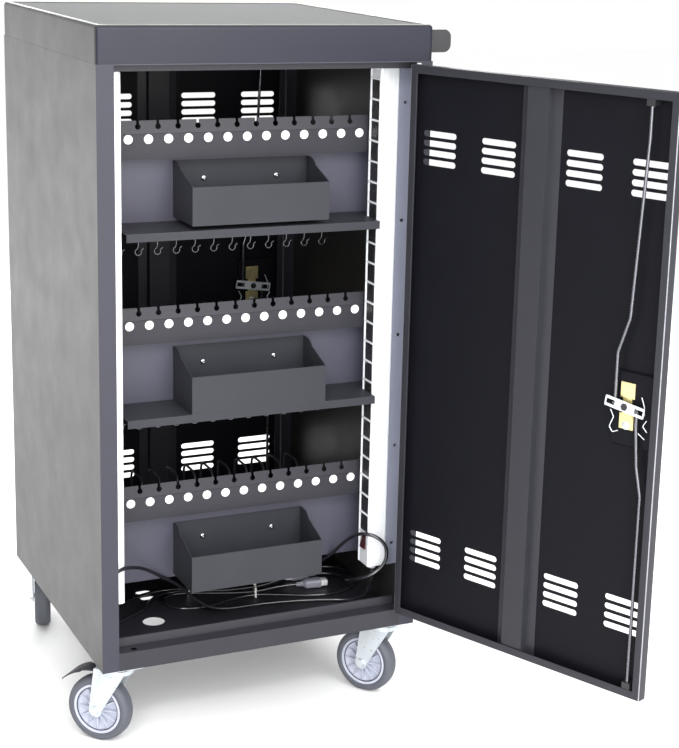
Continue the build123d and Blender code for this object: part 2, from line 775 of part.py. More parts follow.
def door_skin():
    """The door's pan: its face, four sides, returned lips, vents and lock holes."""
    left = door_x(DOOR_WIDTH)
    right = door_x(0)
    inside = DOOR_THICKNESS - DOOR_SHEET
    with BuildPart() as skin:
        block(left, right, 0, DOOR_THICKNESS, DOOR_BOTTOM, DOOR_TOP)
        block(
            left + DOOR_SHEET,
            right - DOOR_SHEET,
            DOOR_SHEET,
            inside,
            DOOR_BOTTOM + DOOR_SHEET,
            DOOR_TOP - DOOR_SHEET,
            mode=Mode.SUBTRACT,
        )
        block(
            left + DOOR_LIP,
            right - DOOR_LIP,
            inside,
            DOOR_THICKNESS,
            DOOR_BOTTOM + DOOR_LIP,
            DOOR_TOP - DOOR_LIP,
            mode=Mode.SUBTRACT,
        )
        with BuildSketch(facing(0)):
            for vent_z in VENT_CENTRES:
                for shift in VENT_GROUPS:
                    with Locations((door_x(DOOR_WIDTH / 2 + shift), vent_z)):
                        with GridLocations(0, VENT_PITCH, 1, VENTS_PER_GROUP):
                            Rectangle(VENT_LENGTH, VENT_WIDTH)
            with Locations((LOCK_X, LOCK_Z)):
                Circle(SPINDLE_RADIUS + FIT)
        extrude(amount=-DOOR_SHEET, mode=Mode.SUBTRACT)
        for across, z in (
            (UPPER_ROD_ACROSS[-1], DOOR_TOP - DOOR_SHEET),
            (LOWER_ROD_ACROSS[-1], DOOR_BOTTOM),
        ):
            with BuildSketch(Plane.XY.offset(z)):
                with Locations((door_x(across), ROD_DEPTH)):
                    Circle(ROD_RADIUS + CLEARANCE)
            extrude(amount=DOOR_SHEET, mode=Mode.SUBTRACT)
    return skin.part


def door_stiffener():
    """The hat-shaped channel down the middle of the door."""
    middle = door_x(DOOR_WIDTH / 2)
    side = HAT_TOP / 2 - DOOR_SHEET / 2
    foot = DOOR_SHEET * 1.5
    crest = DOOR_SHEET + HAT_HEIGHT - DOOR_SHEET / 2
    profile = bent_strip(
        [
            (middle - side - HAT_FLANGE, foot),
            (middle - side, foot),
            (middle - side, crest),
            (middle + side, crest),
            (middle + side, foot),
            (middle + side + HAT_FLANGE, foot),
        ],
        DOOR_SHEET,
    )
    with BuildPart() as hat:
        with BuildSketch(Plane.XY.offset(DOOR_BOTTOM + DOOR_SHEET + HAT_CLEARANCE)):
            add(profile)
        extrude(amount=DOOR_TOP - DOOR_BOTTOM - 2 * DOOR_SHEET - 2 * HAT_CLEARANCE)
    return hat.part


def hinge_knuckles(direction):
    """Three barrels with their leaves: the door's above the joint, or the post's below it."""
    with BuildPart() as knuckles:
        for middle in HINGE_MIDDLES:
            bottom = middle if direction < 0 else middle - HINGE_BARREL
            with BuildSketch(Plane.XY.offset(bottom)):
                with Locations((HINGE_X, HINGE_Y)):
                    Circle(HINGE_RADIUS)
                with Locations((HINGE_X + direction * HINGE_LEAF / 2, -HINGE_LEAF_SHEET / 2)):
                    Rectangle(HINGE_LEAF, HINGE_LEAF_SHEET)
                with Locations((HINGE_X, HINGE_Y)):
                    Circle(HINGE_PIN + FIT, mode=Mode.SUBTRACT)
            extrude(amount=HINGE_BARREL - CLEARANCE)
    return knuckles.part


def hinge_pins():
    """The three pins, each headed above the door's barrel."""
    with BuildPart() as pins:
        for middle in HINGE_MIDDLES:
            with BuildSketch(Plane.XY.offset(middle - HINGE_BARREL)):
                with Locations((HINGE_X, HINGE_Y)):
                    Circle(HINGE_PIN)
            extrude(amount=2 * HINGE_BARREL)
            with BuildSketch(Plane.XY.offset(middle + HINGE_BARREL)):
                with Locations((HINGE_X, HINGE_Y)):
                    Circle(HINGE_HEAD)
            extrude(amount=HINGE_HEAD_HEIGHT)
    return pins.part


def lock_housing():
    """The open-backed box on the door that carries the lock's spindle."""
    left = door_x(LOCK_ACROSS + LOCK_HOUSING_RIGHT)
    right = door_x(LOCK_ACROSS - LOCK_HOUSING_LEFT)
    face = DOOR_SHEET + LOCK_HOUSING_DEPTH
    with BuildPart() as housing:
        block(left, right, DOOR_SHEET, face, LOCK_HOUSING_BOTTOM, LOCK_HOUSING_TOP)
        chamfer(housing.edges().filter_by(Axis.X).group_by(Axis.Y)[-1], LOCK_HOUSING_SHEET * 2)
        block(
            left + LOCK_HOUSING_SHEET,
            right - LOCK_HOUSING_SHEET,
            DOOR_SHEET,
            face - LOCK_HOUSING_SHEET,
            LOCK_HOUSING_BOTTOM + LOCK_HOUSING_SHEET * 3,
            LOCK_HOUSING_TOP - LOCK_HOUSING_SHEET * 3,
            mode=Mode.SUBTRACT,
        )
        with BuildSketch(facing(face - LOCK_HOUSING_SHEET)):
            with Locations((LOCK_X, LOCK_Z)):
                Circle(SPINDLE_RADIUS + FIT)
        extrude(amount=-LOCK_HOUSING_SHEET, mode=Mode.SUBTRACT)
    return housing.part


CAM_FACE = DOOR_SHEET + LOCK_HOUSING_DEPTH + CLEARANCE
BAR_FACE = ROD_DEPTH + ROD_RADIUS + CLEARANCE


def lock_cams():
    """The waisted cam plate with its nut, and the slotted bar that the rods hang on."""
    with BuildPart() as cam:
        with BuildSketch(facing(CAM_FACE)):
            with Locations((LOCK_X, LOCK_Z)):
                Rectangle(CAM_WIDTH, CAM_LENGTH)
            with Locations((LOCK_X - CAM_WIDTH / 2, LOCK_Z), (LOCK_X + CAM_WIDTH / 2, LOCK_Z)):
                Rectangle(CAM_WIDTH - CAM_WAIST, CAM_LENGTH / 3, mode=Mode.SUBTRACT)
            with Locations((LOCK_X, LOCK_Z)):
                Circle(SPINDLE_RADIUS, mode=Mode.SUBTRACT)
        extrude(amount=-CAM_SHEET)
        with BuildSketch(facing(CAM_FACE + CAM_SHEET)):
            with Locations((LOCK_X, LOCK_Z - CAM_LENGTH / 2 + CAM_WIDTH / 4)):
                RegularPolygon(CAM_NUT, 6)
        extrude(amount=-CAM_NUT_HEIGHT)
    # The rods' pins stay this far to each side, so a turn slides them along the slots.
    near = ROD_OFFSET / cos(radians(LOCK_REST)) - ROD_PIN - BAR_SLOT_MARGIN
    far = ROD_OFFSET / cos(radians(LOCK_REST + LOCK_TURN)) + ROD_PIN + BAR_SLOT_MARGIN
    with BuildPart() as bar:
        with BuildSketch(facing(BAR_FACE).shift_origin((LOCK_X, BAR_FACE, LOCK_Z))):
            RectangleRounded(BAR_LENGTH, BAR_WIDTH, BAR_SHEET, rotation=LOCK_REST)
            Circle(SPINDLE_RADIUS, mode=Mode.SUBTRACT)
            with PolarLocations((near + far) / 2, 2, start_angle=LOCK_REST):
                Rectangle(far - near, BAR_SLOT_WIDTH, mode=Mode.SUBTRACT)
        extrude(amount=-BAR_SHEET)
    return Part() + [cam.part, bar.part]


def lock_handle():
    """The T handle outside, its collar and its spindle through to the bar's nut."""
    bar_back = BAR_FACE + BAR_SHEET
    with BuildPart() as handle:
        with BuildSketch(facing(0).shift_origin((LOCK_X, 0, LOCK_Z))):
            Circle(COLLAR_RADIUS)
        extrude(amount=COLLAR_HEIGHT)
        with BuildSketch(facing(-COLLAR_HEIGHT).shift_origin((LOCK_X, -COLLAR_HEIGHT, LOCK_Z))):
            Circle(LEVER_WIDTH / 2)
        extrude(amount=LEVER_STANDOFF - COLLAR_HEIGHT)
        with BuildSketch(facing(-LEVER_STANDOFF).shift_origin((LOCK_X, -LEVER_STANDOFF, LOCK_Z))):
            SlotOverall(LEVER_LENGTH, LEVER_WIDTH, rotation=90)
        extrude(amount=LEVER_THICKNESS)
        with BuildSketch(facing(0).shift_origin((LOCK_X, 0, LOCK_Z))):
            Circle(SPINDLE_RADIUS)
        extrude(amount=-bar_back)
        with BuildSketch(facing(bar_back).shift_origin((LOCK_X, bar_back, LOCK_Z))):
            RegularPolygon(SPINDLE_NUT, 6)
        extrude(amount=-SPINDLE_NUT_HEIGHT)
    return handle.part


def lock_rod(acrosses, zs):
    """A bent round rod with a pin at its lock end, which rides in the bar's slot."""
    points = [(door_x(across), ROD_DEPTH, z) for across, z in zip(acrosses, zs)]
    with BuildPart() as rod:
        with BuildLine():
            route = FilletPolyline(*points, radius=ROD_RADIUS * 6)
        with BuildSketch(Plane(origin=route @ 0, z_dir=route % 0)):
            Circle(ROD_RADIUS)
        sweep(path=route)
        side = points[0][0]
        tilt = tan(radians(LOCK_REST)) * (LOCK_X - side)
        with BuildSketch(facing(ROD_DEPTH).shift_origin((side, ROD_DEPTH, LOCK_Z - tilt))):
            Circle(ROD_PIN)
        extrude(amount=-(BAR_FACE + BAR_SHEET + CLEARANCE - ROD_DEPTH))
    return rod.part


def rod_guides():
    """Two nylon blocks on the door's face that the rods slide through."""
    with BuildPart() as guides:
        for across, z in (
            (UPPER_ROD_ACROSS[-1], DOOR_TOP - GUIDE_INSET - GUIDE_HEIGHT),
            (LOWER_ROD_ACROSS[-1], DOOR_BOTTOM + GUIDE_INSET),
        ):
            x = door_x(across)
            block(
                x - GUIDE_WIDTH / 2,
                x + GUIDE_WIDTH / 2,
                DOOR_SHEET,
                DOOR_THICKNESS - DOOR_SHEET,
                z,
                z + GUIDE_HEIGHT,
            )
            with BuildSketch(Plane.XY.offset(z)):
                with Locations((x, ROD_DEPTH)):
                    Circle(ROD_RADIUS + FIT)
            extrude(amount=GUIDE_HEIGHT, mode=Mode.SUBTRACT)
    return guides.part


door_pieces = {
    "door_skin": door_skin(),
    "door_stiffener": door_stiffener(),
    "door_knuckles": hinge_knuckles(-1),
    "lock_housing": lock_housing(),
    "lock_cams": lock_cams(),
    "lock_handle": lock_handle(),
    "upper_rod": lock_rod(UPPER_ROD_ACROSS, UPPER_ROD_ZS),
    "lower_rod": lock_rod(LOWER_ROD_ACROSS, LOWER_ROD_ZS),
    "rod_guides": rod_guides(),
}
for name, piece in door_pieces.items():
    finish(piece.rotate(HINGE_AXIS, DOOR_OPEN), f"near_{name}")
for name, piece in door_pieces.items():
    finish(piece.rotate(HALF_TURN, 180), f"far_{name}")

post_knuckles = hinge_knuckles(1)
pins = hinge_pins()
finish(Part() + [post_knuckles, post_knuckles.rotate(HALF_TURN, 180)], "post_knuckles")
finish(Part() + [pins, pins.rotate(HALF_TURN, 180)], "hinge_pins")

# Casters
AXLE_Z = WHEEL_RADIUS - CASTER_HEIGHT
CROWN_TOP = -PLATE_THICKNESS - RACE_HEIGHT - CLEARANCE
CROWN_BOTTOM = CROWN_TOP - CROWN_HEIGHT
LEG_INSIDE = WHEEL_WIDTH / 2 + FORK_GAP
LEG_OUTSIDE = LEG_INSIDE + FORK_SHEET
PEDAL_PIVOT_Z = CROWN_BOTTOM - PEDAL_PIVOT_DROP


def caster_plate():
    """The screwed plate, the fixed race under it and the riveted kingpin."""
    with BuildPart() as plate:
        with BuildSketch(Plane.XY):
            RectangleRounded(PLATE_SIZE, PLATE_SIZE, PLATE_THICKNESS * 2)
        extrude(amount=-PLATE_THICKNESS)
        with BuildSketch(Plane.XY.offset(-PLATE_THICKNESS)):
            Circle(RACE_RADIUS)
        extrude(amount=-RACE_HEIGHT, taper=8)
        with BuildSketch(Plane.XY.offset(-PLATE_THICKNESS - RACE_HEIGHT)):
            Circle(KINGPIN_RADIUS)
        extrude(amount=CROWN_BOTTOM - CLEARANCE + PLATE_THICKNESS + RACE_HEIGHT)
        with BuildSketch(Plane.XY.offset(CROWN_BOTTOM - CLEARANCE)):
            Circle(KINGPIN_HEAD)
        extrude(amount=-KINGPIN_HEAD_HEIGHT, taper=20)
    return plate.part


def caster_fork():
    """The swivel crown with two tapered legs, the axle bolt and the pedal's pin."""
    with BuildPart() as fork:
        with BuildSketch(Plane.XZ.offset(-LEG_OUTSIDE)):
            with BuildLine():
                Polyline(
                    (-RACE_RADIUS + 5, CROWN_TOP - 3),
                    (PEDAL_PIVOT_X + 10, CROWN_TOP - 3),
                    (TRAIL + BOSS_RADIUS, AXLE_Z),
                    (TRAIL, AXLE_Z - BOSS_RADIUS),
                    (TRAIL - BOSS_RADIUS, AXLE_Z),
                    close=True,
                )
            make_face()
            with Locations((TRAIL, AXLE_Z)):
                Circle(BOSS_RADIUS)
        extrude(amount=2 * LEG_OUTSIDE)
        block(
            -2 * RACE_RADIUS,
            2 * RACE_RADIUS,
            -LEG_INSIDE,
            LEG_INSIDE,
            2 * AXLE_Z,
            CROWN_BOTTOM,
            mode=Mode.SUBTRACT,
        )
        with BuildSketch(Plane.XY.offset(CROWN_TOP)):
            Circle(RACE_RADIUS)
        extrude(amount=-CROWN_HEIGHT)
        with BuildSketch(Plane.XY.offset(CROWN_BOTTOM)):
            Circle(KINGPIN_RADIUS + FIT)
        extrude(amount=CROWN_HEIGHT, mode=Mode.SUBTRACT)
        with BuildSketch(facing(-LEG_INSIDE).shift_origin((PEDAL_PIVOT_X, -LEG_INSIDE, PEDAL_PIVOT_Z))):
            Circle(PEDAL_PIN)
        extrude(amount=-2 * LEG_INSIDE)
        reach = LEG_OUTSIDE + AXLE_HEAD_HEIGHT
        with BuildSketch(facing(-reach).shift_origin((TRAIL, -reach, AXLE_Z))):
            RegularPolygon(AXLE_HEAD, 6)
        extrude(amount=-AXLE_HEAD_HEIGHT)
        with BuildSketch(facing(LEG_OUTSIDE).shift_origin((TRAIL, LEG_OUTSIDE, AXLE_Z))):
            RegularPolygon(AXLE_HEAD, 6)
        extrude(amount=-AXLE_HEAD_HEIGHT)
        with BuildSketch(facing(-LEG_OUTSIDE).shift_origin((TRAIL, -LEG_OUTSIDE, AXLE_Z))):
            Circle(AXLE_RADIUS)
        extrude(amount=-2 * LEG_OUTSIDE)
    return fork.part


def caster_tyre():
    """The rubber tread, round shouldered."""
    half_width = WHEEL_WIDTH / 2
    with BuildPart() as tyre:
        with BuildSketch(Plane.XZ) as section:
            with Locations((HUB_RADIUS, 0)):
                Rectangle(WHEEL_RADIUS - HUB_RADIUS, WHEEL_WIDTH, align=(Align.MIN, Align.CENTER))
            chamfer(section.vertices().group_by(Axis.X)[-1], TREAD_ROUND, half_width / 2)
        revolve(axis=Axis.Z)
    return tyre.part


def caster_hub():
    """The wheel's rim, spoked web and boss."""
    with BuildPart() as hub:
        with BuildSketch(Plane.XY.offset(-WHEEL_WIDTH / 2)):
            Circle(HUB_RADIUS)
            Circle(HUB_RADIUS - RIM_WIDTH, mode=Mode.SUBTRACT)
        extrude(amount=WHEEL_WIDTH)
        with BuildSketch(Plane.XY.offset(-WEB_THICKNESS / 2)):
            with PolarLocations(0, SPOKES):
                Rectangle(HUB_RADIUS - RIM_WIDTH / 2, SPOKE_WIDTH, align=(Align.MIN, Align.CENTER))
        extrude(amount=WEB_THICKNESS)
        with BuildSketch(Plane.XY.offset(-WHEEL_WIDTH / 2)):
            Circle(BOSS_RADIUS)
        extrude(amount=WHEEL_WIDTH)
        with BuildSketch(Plane.XY.offset(-WHEEL_WIDTH / 2)):
            Circle(AXLE_RADIUS + FIT)
        extrude(amount=WHEEL_WIDTH, mode=Mode.SUBTRACT)
    return hub.part


def brake_pedal():
    """The brake's lever: a boss on its pin, an arm over the wheel and a wide tread."""
    end_x = PEDAL_PIVOT_X + PEDAL_REACH
    end_z = PEDAL_PIVOT_Z - PEDAL_FALL
    arm_half = LEG_INSIDE - FORK_GAP
    with BuildPart() as pedal:
        with BuildSketch(facing(-PEDAL_WIDTH / 2)):
            with BuildLine():
                top = SagittaArc((PEDAL_PIVOT_X, PEDAL_PIVOT_Z + PEDAL_BOSS), (end_x, end_z), PEDAL_RISE)
                Line(top @ 1, (end_x, end_z - PEDAL_SHEET))
                SagittaArc(
                    (end_x, end_z - PEDAL_SHEET),
                    (PEDAL_PIVOT_X, PEDAL_PIVOT_Z + PEDAL_BOSS - PEDAL_SHEET),
                    -PEDAL_RISE,
                )
                Line((PEDAL_PIVOT_X, PEDAL_PIVOT_Z + PEDAL_BOSS - PEDAL_SHEET), top @ 0)
            make_face()
        extrude(amount=-PEDAL_WIDTH)
        narrow_end = PEDAL_PIVOT_X + PEDAL_REACH / 2
        for side in (-1, 1):
            near_y = side * arm_half
            far_y = side * PEDAL_WIDTH
            block(
                0,
                narrow_end,
                min(near_y, far_y),
                max(near_y, far_y),
                2 * AXLE_Z,
                0,
                mode=Mode.SUBTRACT,
            )
        with BuildSketch(facing(-arm_half).shift_origin((PEDAL_PIVOT_X, -arm_half, PEDAL_PIVOT_Z))):
            Circle(PEDAL_BOSS)
        extrude(amount=-2 * arm_half)
        with BuildSketch(facing(-arm_half).shift_origin((PEDAL_PIVOT_X, -arm_half, PEDAL_PIVOT_Z))):
            Circle(PEDAL_PIN + FIT)
        extrude(amount=-2 * arm_half, mode=Mode.SUBTRACT)
    return pedal.part


wheel_place = Location((TRAIL, 0, AXLE_Z)) * Location((0, 0, 0), (90, 0, 0))
caster_pieces = {
    "fork": caster_fork(),
    "tyre": caster_tyre().moved(wheel_place),
    "hub": caster_hub().moved(wheel_place),
    "brake_pedal": brake_pedal(),
}
corners = (
    ("front_left", CASTER_INSET, CASTER_INSET),
    ("front_right", WIDTH - CASTER_INSET, CASTER_INSET),
    ("rear_left", CASTER_INSET, DEPTH - CASTER_INSET),
    ("rear_right", WIDTH - CASTER_INSET, DEPTH - CASTER_INSET),
)
plate = caster_plate()
plates = []
for (corner, x, y), heading in zip(corners, CASTER_HEADINGS):
    spot = Location((x, y, 0), (0, 0, heading))
    plates.append(plate.moved(Location((x, y, 0))))
    for name, piece in caster_pieces.items():
        finish(piece.moved(spot), f"{corner}_{name}")
finish(Part() + plates, "caster_plates")

# Supply cords. Each leaves a power strip's gland, lies folded on the floor sheet and
# ends in a plug. The left one springs up in front of the right strip, and the right
# one in front of the left strip, as stiff leads do where they are folded.
GLAND_END = STRIP_BOTTOM - GLAND_LENGTH
LEFT_ROUTE = [
    (45, 100, GLAND_END),
    (45, 100, 56),
    (50, 108, 26),
    (60, 130, 8),
    (68, 165, 5.3),
    (90, 202, 5.3),
    (143, 231, 5.3),
    (168, 258, 5.3),
    (188, 292, 5.3),
    (226, 307, 5.6),
    (268, 297, 6.6),
    (322, 274, 6.6),
    (386, 249, 14),
    (430, 233, 27),
    (468, 212, 52),
    (495, 187, 74),
    (512, 158, 98),
    (524, 134, 128),
    (536, 104, 156),
    (546, 76, 168),
    (566, 60, 164),
    (584, 56, 145),
    (588, 58, 118),
    (576, 60, 96),
    (552, 64, 82),
    (534, 86, 70),
    (534, 122, 56),
    (550, 165, 36),
    (568, 210, 18),
    (578, 240, 11),
    (572, 262, 10.8),
    (552, 276, 10.8),
    (532, 279, 10.8),
]
RIGHT_ROUTE = [
    (575, 100, GLAND_END),
    (575, 100, 56),
    (570, 108, 26),
    (552, 128, 9),
    (520, 150, 5.3),
    (470, 167, 5.3),
    (415, 180, 5.3),
    (360, 186, 5.3),
    (310, 184, 5.3),
    (268, 183, 14),
    (232, 181, 42),
    (202, 172, 76),
    (162, 150, 106),
    (121, 120, 139),
    (88, 88, 160),
    (52, 60, 172),
    (22, 54, 150),
    (14, 56, 110),
    (16, 66, 72),
    (24, 95, 38),
    (34, 135, 12),
    (38, 185, 5.3),
    (58, 232, 5.3),
    (98, 266, 5.3),
    (140, 296, 5.3),
    (184, 318, 5.3),
    (232, 320, 5.6),
    (272, 307, 6.6),
    (328, 285, 6.2),
    (391, 260.5, 6.6),
    (432, 284, 5.3),
    (480, 308, 6.6),
    (530, 326, 5.3),
    (574, 324, 5.3),
    (606, 298, 5.3),
    (612, 258, 5.3),
    (602, 218, 5.3),
    (572, 192, 5.3),
    (530, 180, 5.3),
    (486, 186, 5.3),
    (438, 210, 5.3),
    (383, 232, 6.6),
    (335, 230, 5.3),
    (290, 213, 5.3),
    (250, 210, 5.3),
    (216, 222, 5.3),
    (200, 250, 5.3),
    (205, 280, 5.3),
    (230, 296, 5.6),
    (262, 286, 6.6),
    (318, 264, 6.2),
    (385, 241.5, 6.6),
    (438, 244, 10.8),
    (474, 240, 10.8),
]


def corner_radii(route):
    """The radius at each corner of a cord: as large as its two runs allow."""
    radii = []
    for before, corner, after in zip(route, route[1:], route[2:]):
        run_in = Vector(*corner) - Vector(*before)
        run_out = Vector(*after) - Vector(*corner)
        half_turn = radians(run_in.get_angle(run_out) / 2)
        radii.append(CORD_REACH * min(run_in.length, run_out.length) / tan(half_turn))
    return radii


def supply_cord(name, route):
    """A plain round tube along straight runs joined by arcs."""
    radii = corner_radii(route)
    with BuildPart() as cord:
        with BuildLine():
            path = FilletPolyline(*route, radius=radii)
        with BuildSketch(Plane(origin=path @ 0, z_dir=path % 0)):
            Circle(CORD_RADIUS)
        sweep(path=path)
    print(name, "length", round(path.length), "radii", [round(radius) for radius in radii])
    tube_area = pi * CORD_RADIUS**2
    print(name, "volume against section times length", cord.part.volume / (tube_area * path.length))
    return finish(cord.part, name)


supply_cord("supply_cord_left", LEFT_ROUTE)
supply_cord("supply_cord_right", RIGHT_ROUTE)


def supply_plug(route):
    """A moulded plug at a cord's end, with a tapered relief and a cap over its pins."""
    end = Vector(*route[-1])
    away = end - Vector(*route[-2])
    heading = Vector(away.X, away.Y, 0)
    across = Vector(-away.Y, away.X, 0)
    face = Plane(origin=end, x_dir=across, z_dir=heading)
    with BuildPart() as plug:
        with BuildSketch(face):
            Circle(RELIEF_RADIUS)
        extrude(amount=RELIEF_LENGTH, taper=-6)
        with BuildSketch(face.offset(RELIEF_LENGTH)):
            RectangleRounded(PLUG_WIDTH, PLUG_HEIGHT, PLUG_ROUND)
        extrude(amount=PLUG_LENGTH)
        with BuildSketch(face.offset(RELIEF_LENGTH + PLUG_LENGTH)):
            RectangleRounded(PLUG_CAP_WIDTH, PLUG_CAP_HEIGHT, PLUG_ROUND / 2)
        extrude(amount=PLUG_CAP_LENGTH)
    return plug.part


finish(Part() + [supply_plug(LEFT_ROUTE), supply_plug(RIGHT_ROUTE)], "supply_plugs")


def cord_tie(first, last, low, high):
    """A flat band round the strands from first to last, with its two ends standing up."""
    across = Vector(*last) - Vector(*first)
    middle = (Vector(*first) + Vector(*last)) * 0.5
    along = Vector(across.Y, -across.X, 0)
    bottom = low - CORD_RADIUS - CLEARANCE
    height = high + CORD_RADIUS + TIE_SLACK - bottom
    width = across.length + 2 * CORD_RADIUS + 2 * TIE_SLACK
    centre = Vector(middle.X, middle.Y, bottom + height / 2)
    band = Plane(origin=centre, x_dir=Vector(across.X, across.Y, 0), z_dir=along).offset(-TIE_WIDTH / 2)
    with BuildPart() as tie:
        with BuildSketch(band) as outline:
            Rectangle(width + 2 * TIE_SHEET, height + 2 * TIE_SHEET)
            chamfer(outline.vertices(), TIE_SHEET)
            Rectangle(width, height, mode=Mode.SUBTRACT)
        extrude(amount=TIE_WIDTH)
        upward = 1 if band.y_dir.Z > 0 else -1
        for side in (-1, 1):
            with BuildSketch(band.shift_origin(band.from_local_coords((0, upward * height / 2, 0)))):
                with Locations(Location((0, 0, 0), (0, 0, side * TIE_SPREAD))):
                    Rectangle(2 * TIE_SHEET, upward * TIE_TAIL, align=(Align.CENTER, Align.MIN))
            extrude(amount=TIE_WIDTH)
    return tie.part


LEFT_TIE = cord_tie((262, 286), (272, 307), LOW_STRAND, LOW_STRAND)
MIDDLE_TIE = cord_tie((382, 229.5), (393.4, 267.2), LOW_STRAND, HIGH_STRAND)
finish(Part() + [LEFT_TIE, MIDDLE_TIE], "cord_ties")

# The last lines: everything moves so that the origin is on the floor, under the middle.
cord_names = ("supply_cord_left", "supply_cord_right", "supply_plugs", "cord_ties")
body_boxes = [piece.bounding_box() for piece in pieces if piece.label not in cord_names]
middle_x = (min(box.min.X for box in body_boxes) + max(box.max.X for box in body_boxes)) / 2
middle_y = (min(box.min.Y for box in body_boxes) + max(box.max.Y for box in body_boxes)) / 2
to_floor = Location((-middle_x, -middle_y, CASTER_HEIGHT))

os.makedirs("parts", exist_ok=True)
for piece in pieces:
    placed = piece.moved(to_floor)
    placed.label = piece.label
    export_step(placed, f"parts/{placed.label}.step")
print("nodes", len(pieces), "origin in the cabinet's frame", middle_x, middle_y, -CASTER_HEIGHT)
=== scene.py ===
# %% [markdown]
# # A charging cart for laptops
# The cart is a steel cabinet on four swivel casters. Its solids come packed from a CAD
# program, with every part already in its place. This lesson loads them as a fixed frame,
# gives each part its real finish, and builds the parts whose shape a solid only hints at:
# rounded wires, slotted sheet, tyres, screws and the two supply cords.

import json
from math import atan2, copysign, cos, pi, radians, sin

import bmesh
import bpy
from mathutils import Matrix, Vector
from mathutils.geometry import tessellate_polygon

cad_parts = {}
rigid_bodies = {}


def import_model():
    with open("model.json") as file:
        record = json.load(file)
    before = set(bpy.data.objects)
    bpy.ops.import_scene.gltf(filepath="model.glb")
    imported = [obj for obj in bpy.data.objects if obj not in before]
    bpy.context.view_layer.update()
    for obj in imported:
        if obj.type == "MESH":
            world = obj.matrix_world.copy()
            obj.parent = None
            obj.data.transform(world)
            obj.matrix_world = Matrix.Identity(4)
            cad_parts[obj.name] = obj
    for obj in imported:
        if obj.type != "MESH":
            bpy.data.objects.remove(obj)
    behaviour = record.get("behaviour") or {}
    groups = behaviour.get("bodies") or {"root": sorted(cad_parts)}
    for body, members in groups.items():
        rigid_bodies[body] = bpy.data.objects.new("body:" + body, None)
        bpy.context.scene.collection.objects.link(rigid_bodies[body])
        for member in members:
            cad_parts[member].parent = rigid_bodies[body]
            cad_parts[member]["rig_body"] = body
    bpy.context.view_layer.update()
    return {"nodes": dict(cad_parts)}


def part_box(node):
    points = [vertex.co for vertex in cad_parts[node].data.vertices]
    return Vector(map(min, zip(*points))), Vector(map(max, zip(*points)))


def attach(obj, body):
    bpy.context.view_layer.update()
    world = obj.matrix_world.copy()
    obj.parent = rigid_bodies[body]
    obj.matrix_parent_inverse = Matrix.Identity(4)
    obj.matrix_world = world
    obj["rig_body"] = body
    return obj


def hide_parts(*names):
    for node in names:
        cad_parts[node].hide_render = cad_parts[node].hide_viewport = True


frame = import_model()
nodes = frame["nodes"]

# %% [markdown]
# A sheet metal cabinet is drawn in millimetres from one corner: to the right, to the
# rear and up from its underside. Blender works in metres. So `at` turns such a place
# into metres in the frame, `mm` does that for a bare length, and `moved_to` and `spin`
# are the two matrices that set a finished mesh in its place.

# %% Places in the cabinet
WIDTH = 620
DEPTH = 628
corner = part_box("side_panel_left")[0]


def mm(x, y, z):
    return (x / 1000, y / 1000, z / 1000)


def at(x, y, z):
    return corner + Vector((x, y, z)) / 1000


def moved_to(x, y, z):
    return Matrix.Translation(at(x, y, z))


def spin(angle, axis="Z"):
    return Matrix.Rotation(angle, 4, axis)


print("cabinet's corner", [round(v, 4) for v in corner])

# %% [markdown]
# The camera stands where the photographer stood: a little to the left of the open
# doorway and above the cart's top. Three directions fix how it is turned. The small
# shift moves the frame sideways, as a crop of a wider picture does.

# %% Camera


def add(name, data):
    """A new object in the scene that holds this data."""
    thing = bpy.data.objects.new(name, data)
    bpy.context.scene.collection.objects.link(thing)
    return thing


camera_data = bpy.data.cameras.new("view")
camera_data.lens = 83.24
camera_data.shift_x = -0.0802
camera_data.shift_y = -0.0401
camera_data.clip_end = 50
camera = add("view", camera_data)
bpy.context.scene.camera = camera
to_right = Vector((0.898742, -0.437376, 0.031066))
to_back = Vector((-0.431112, -0.868492, 0.244671))
turn = Matrix((to_right, to_back.cross(to_right), to_back)).transposed().to_4x4()
camera.matrix_world = moved_to(-809.7, -2782.0, 1346.8) @ turn
print("camera at", [round(v, 3) for v in camera.matrix_world.translation])

# %% [markdown]
# A finish is a colour, a gloss and a grain. Painted steel shows all three: a faint
# cloud of lighter and darker paint, a gloss that changes with it, and the fine orange
# peel of powder paint. One helper builds that from two noises on Object coordinates, so
# each finish in the cart is a few numbers. Lengths are in metres.

# %% Finish helper
GLOSS_SPREAD = 0.09
PEEL_STRENGTH = 0.6


def feed(tree, node, inputs):
    """Set each named input of a node to a value, or wire it to another node's output."""
    for label, value in inputs.items():
        if isinstance(value, bpy.types.NodeSocket):
            tree.links.new(value, node.inputs[label])
        else:
            node.inputs[label].default_value = value


def make(tree, kind, inputs, **settings):
    """The outputs of a new node with these inputs."""
    node = tree.nodes.new(kind)
    for setting, value in settings.items():
        setattr(node, setting, value)
    feed(tree, node, inputs)
    return node.outputs


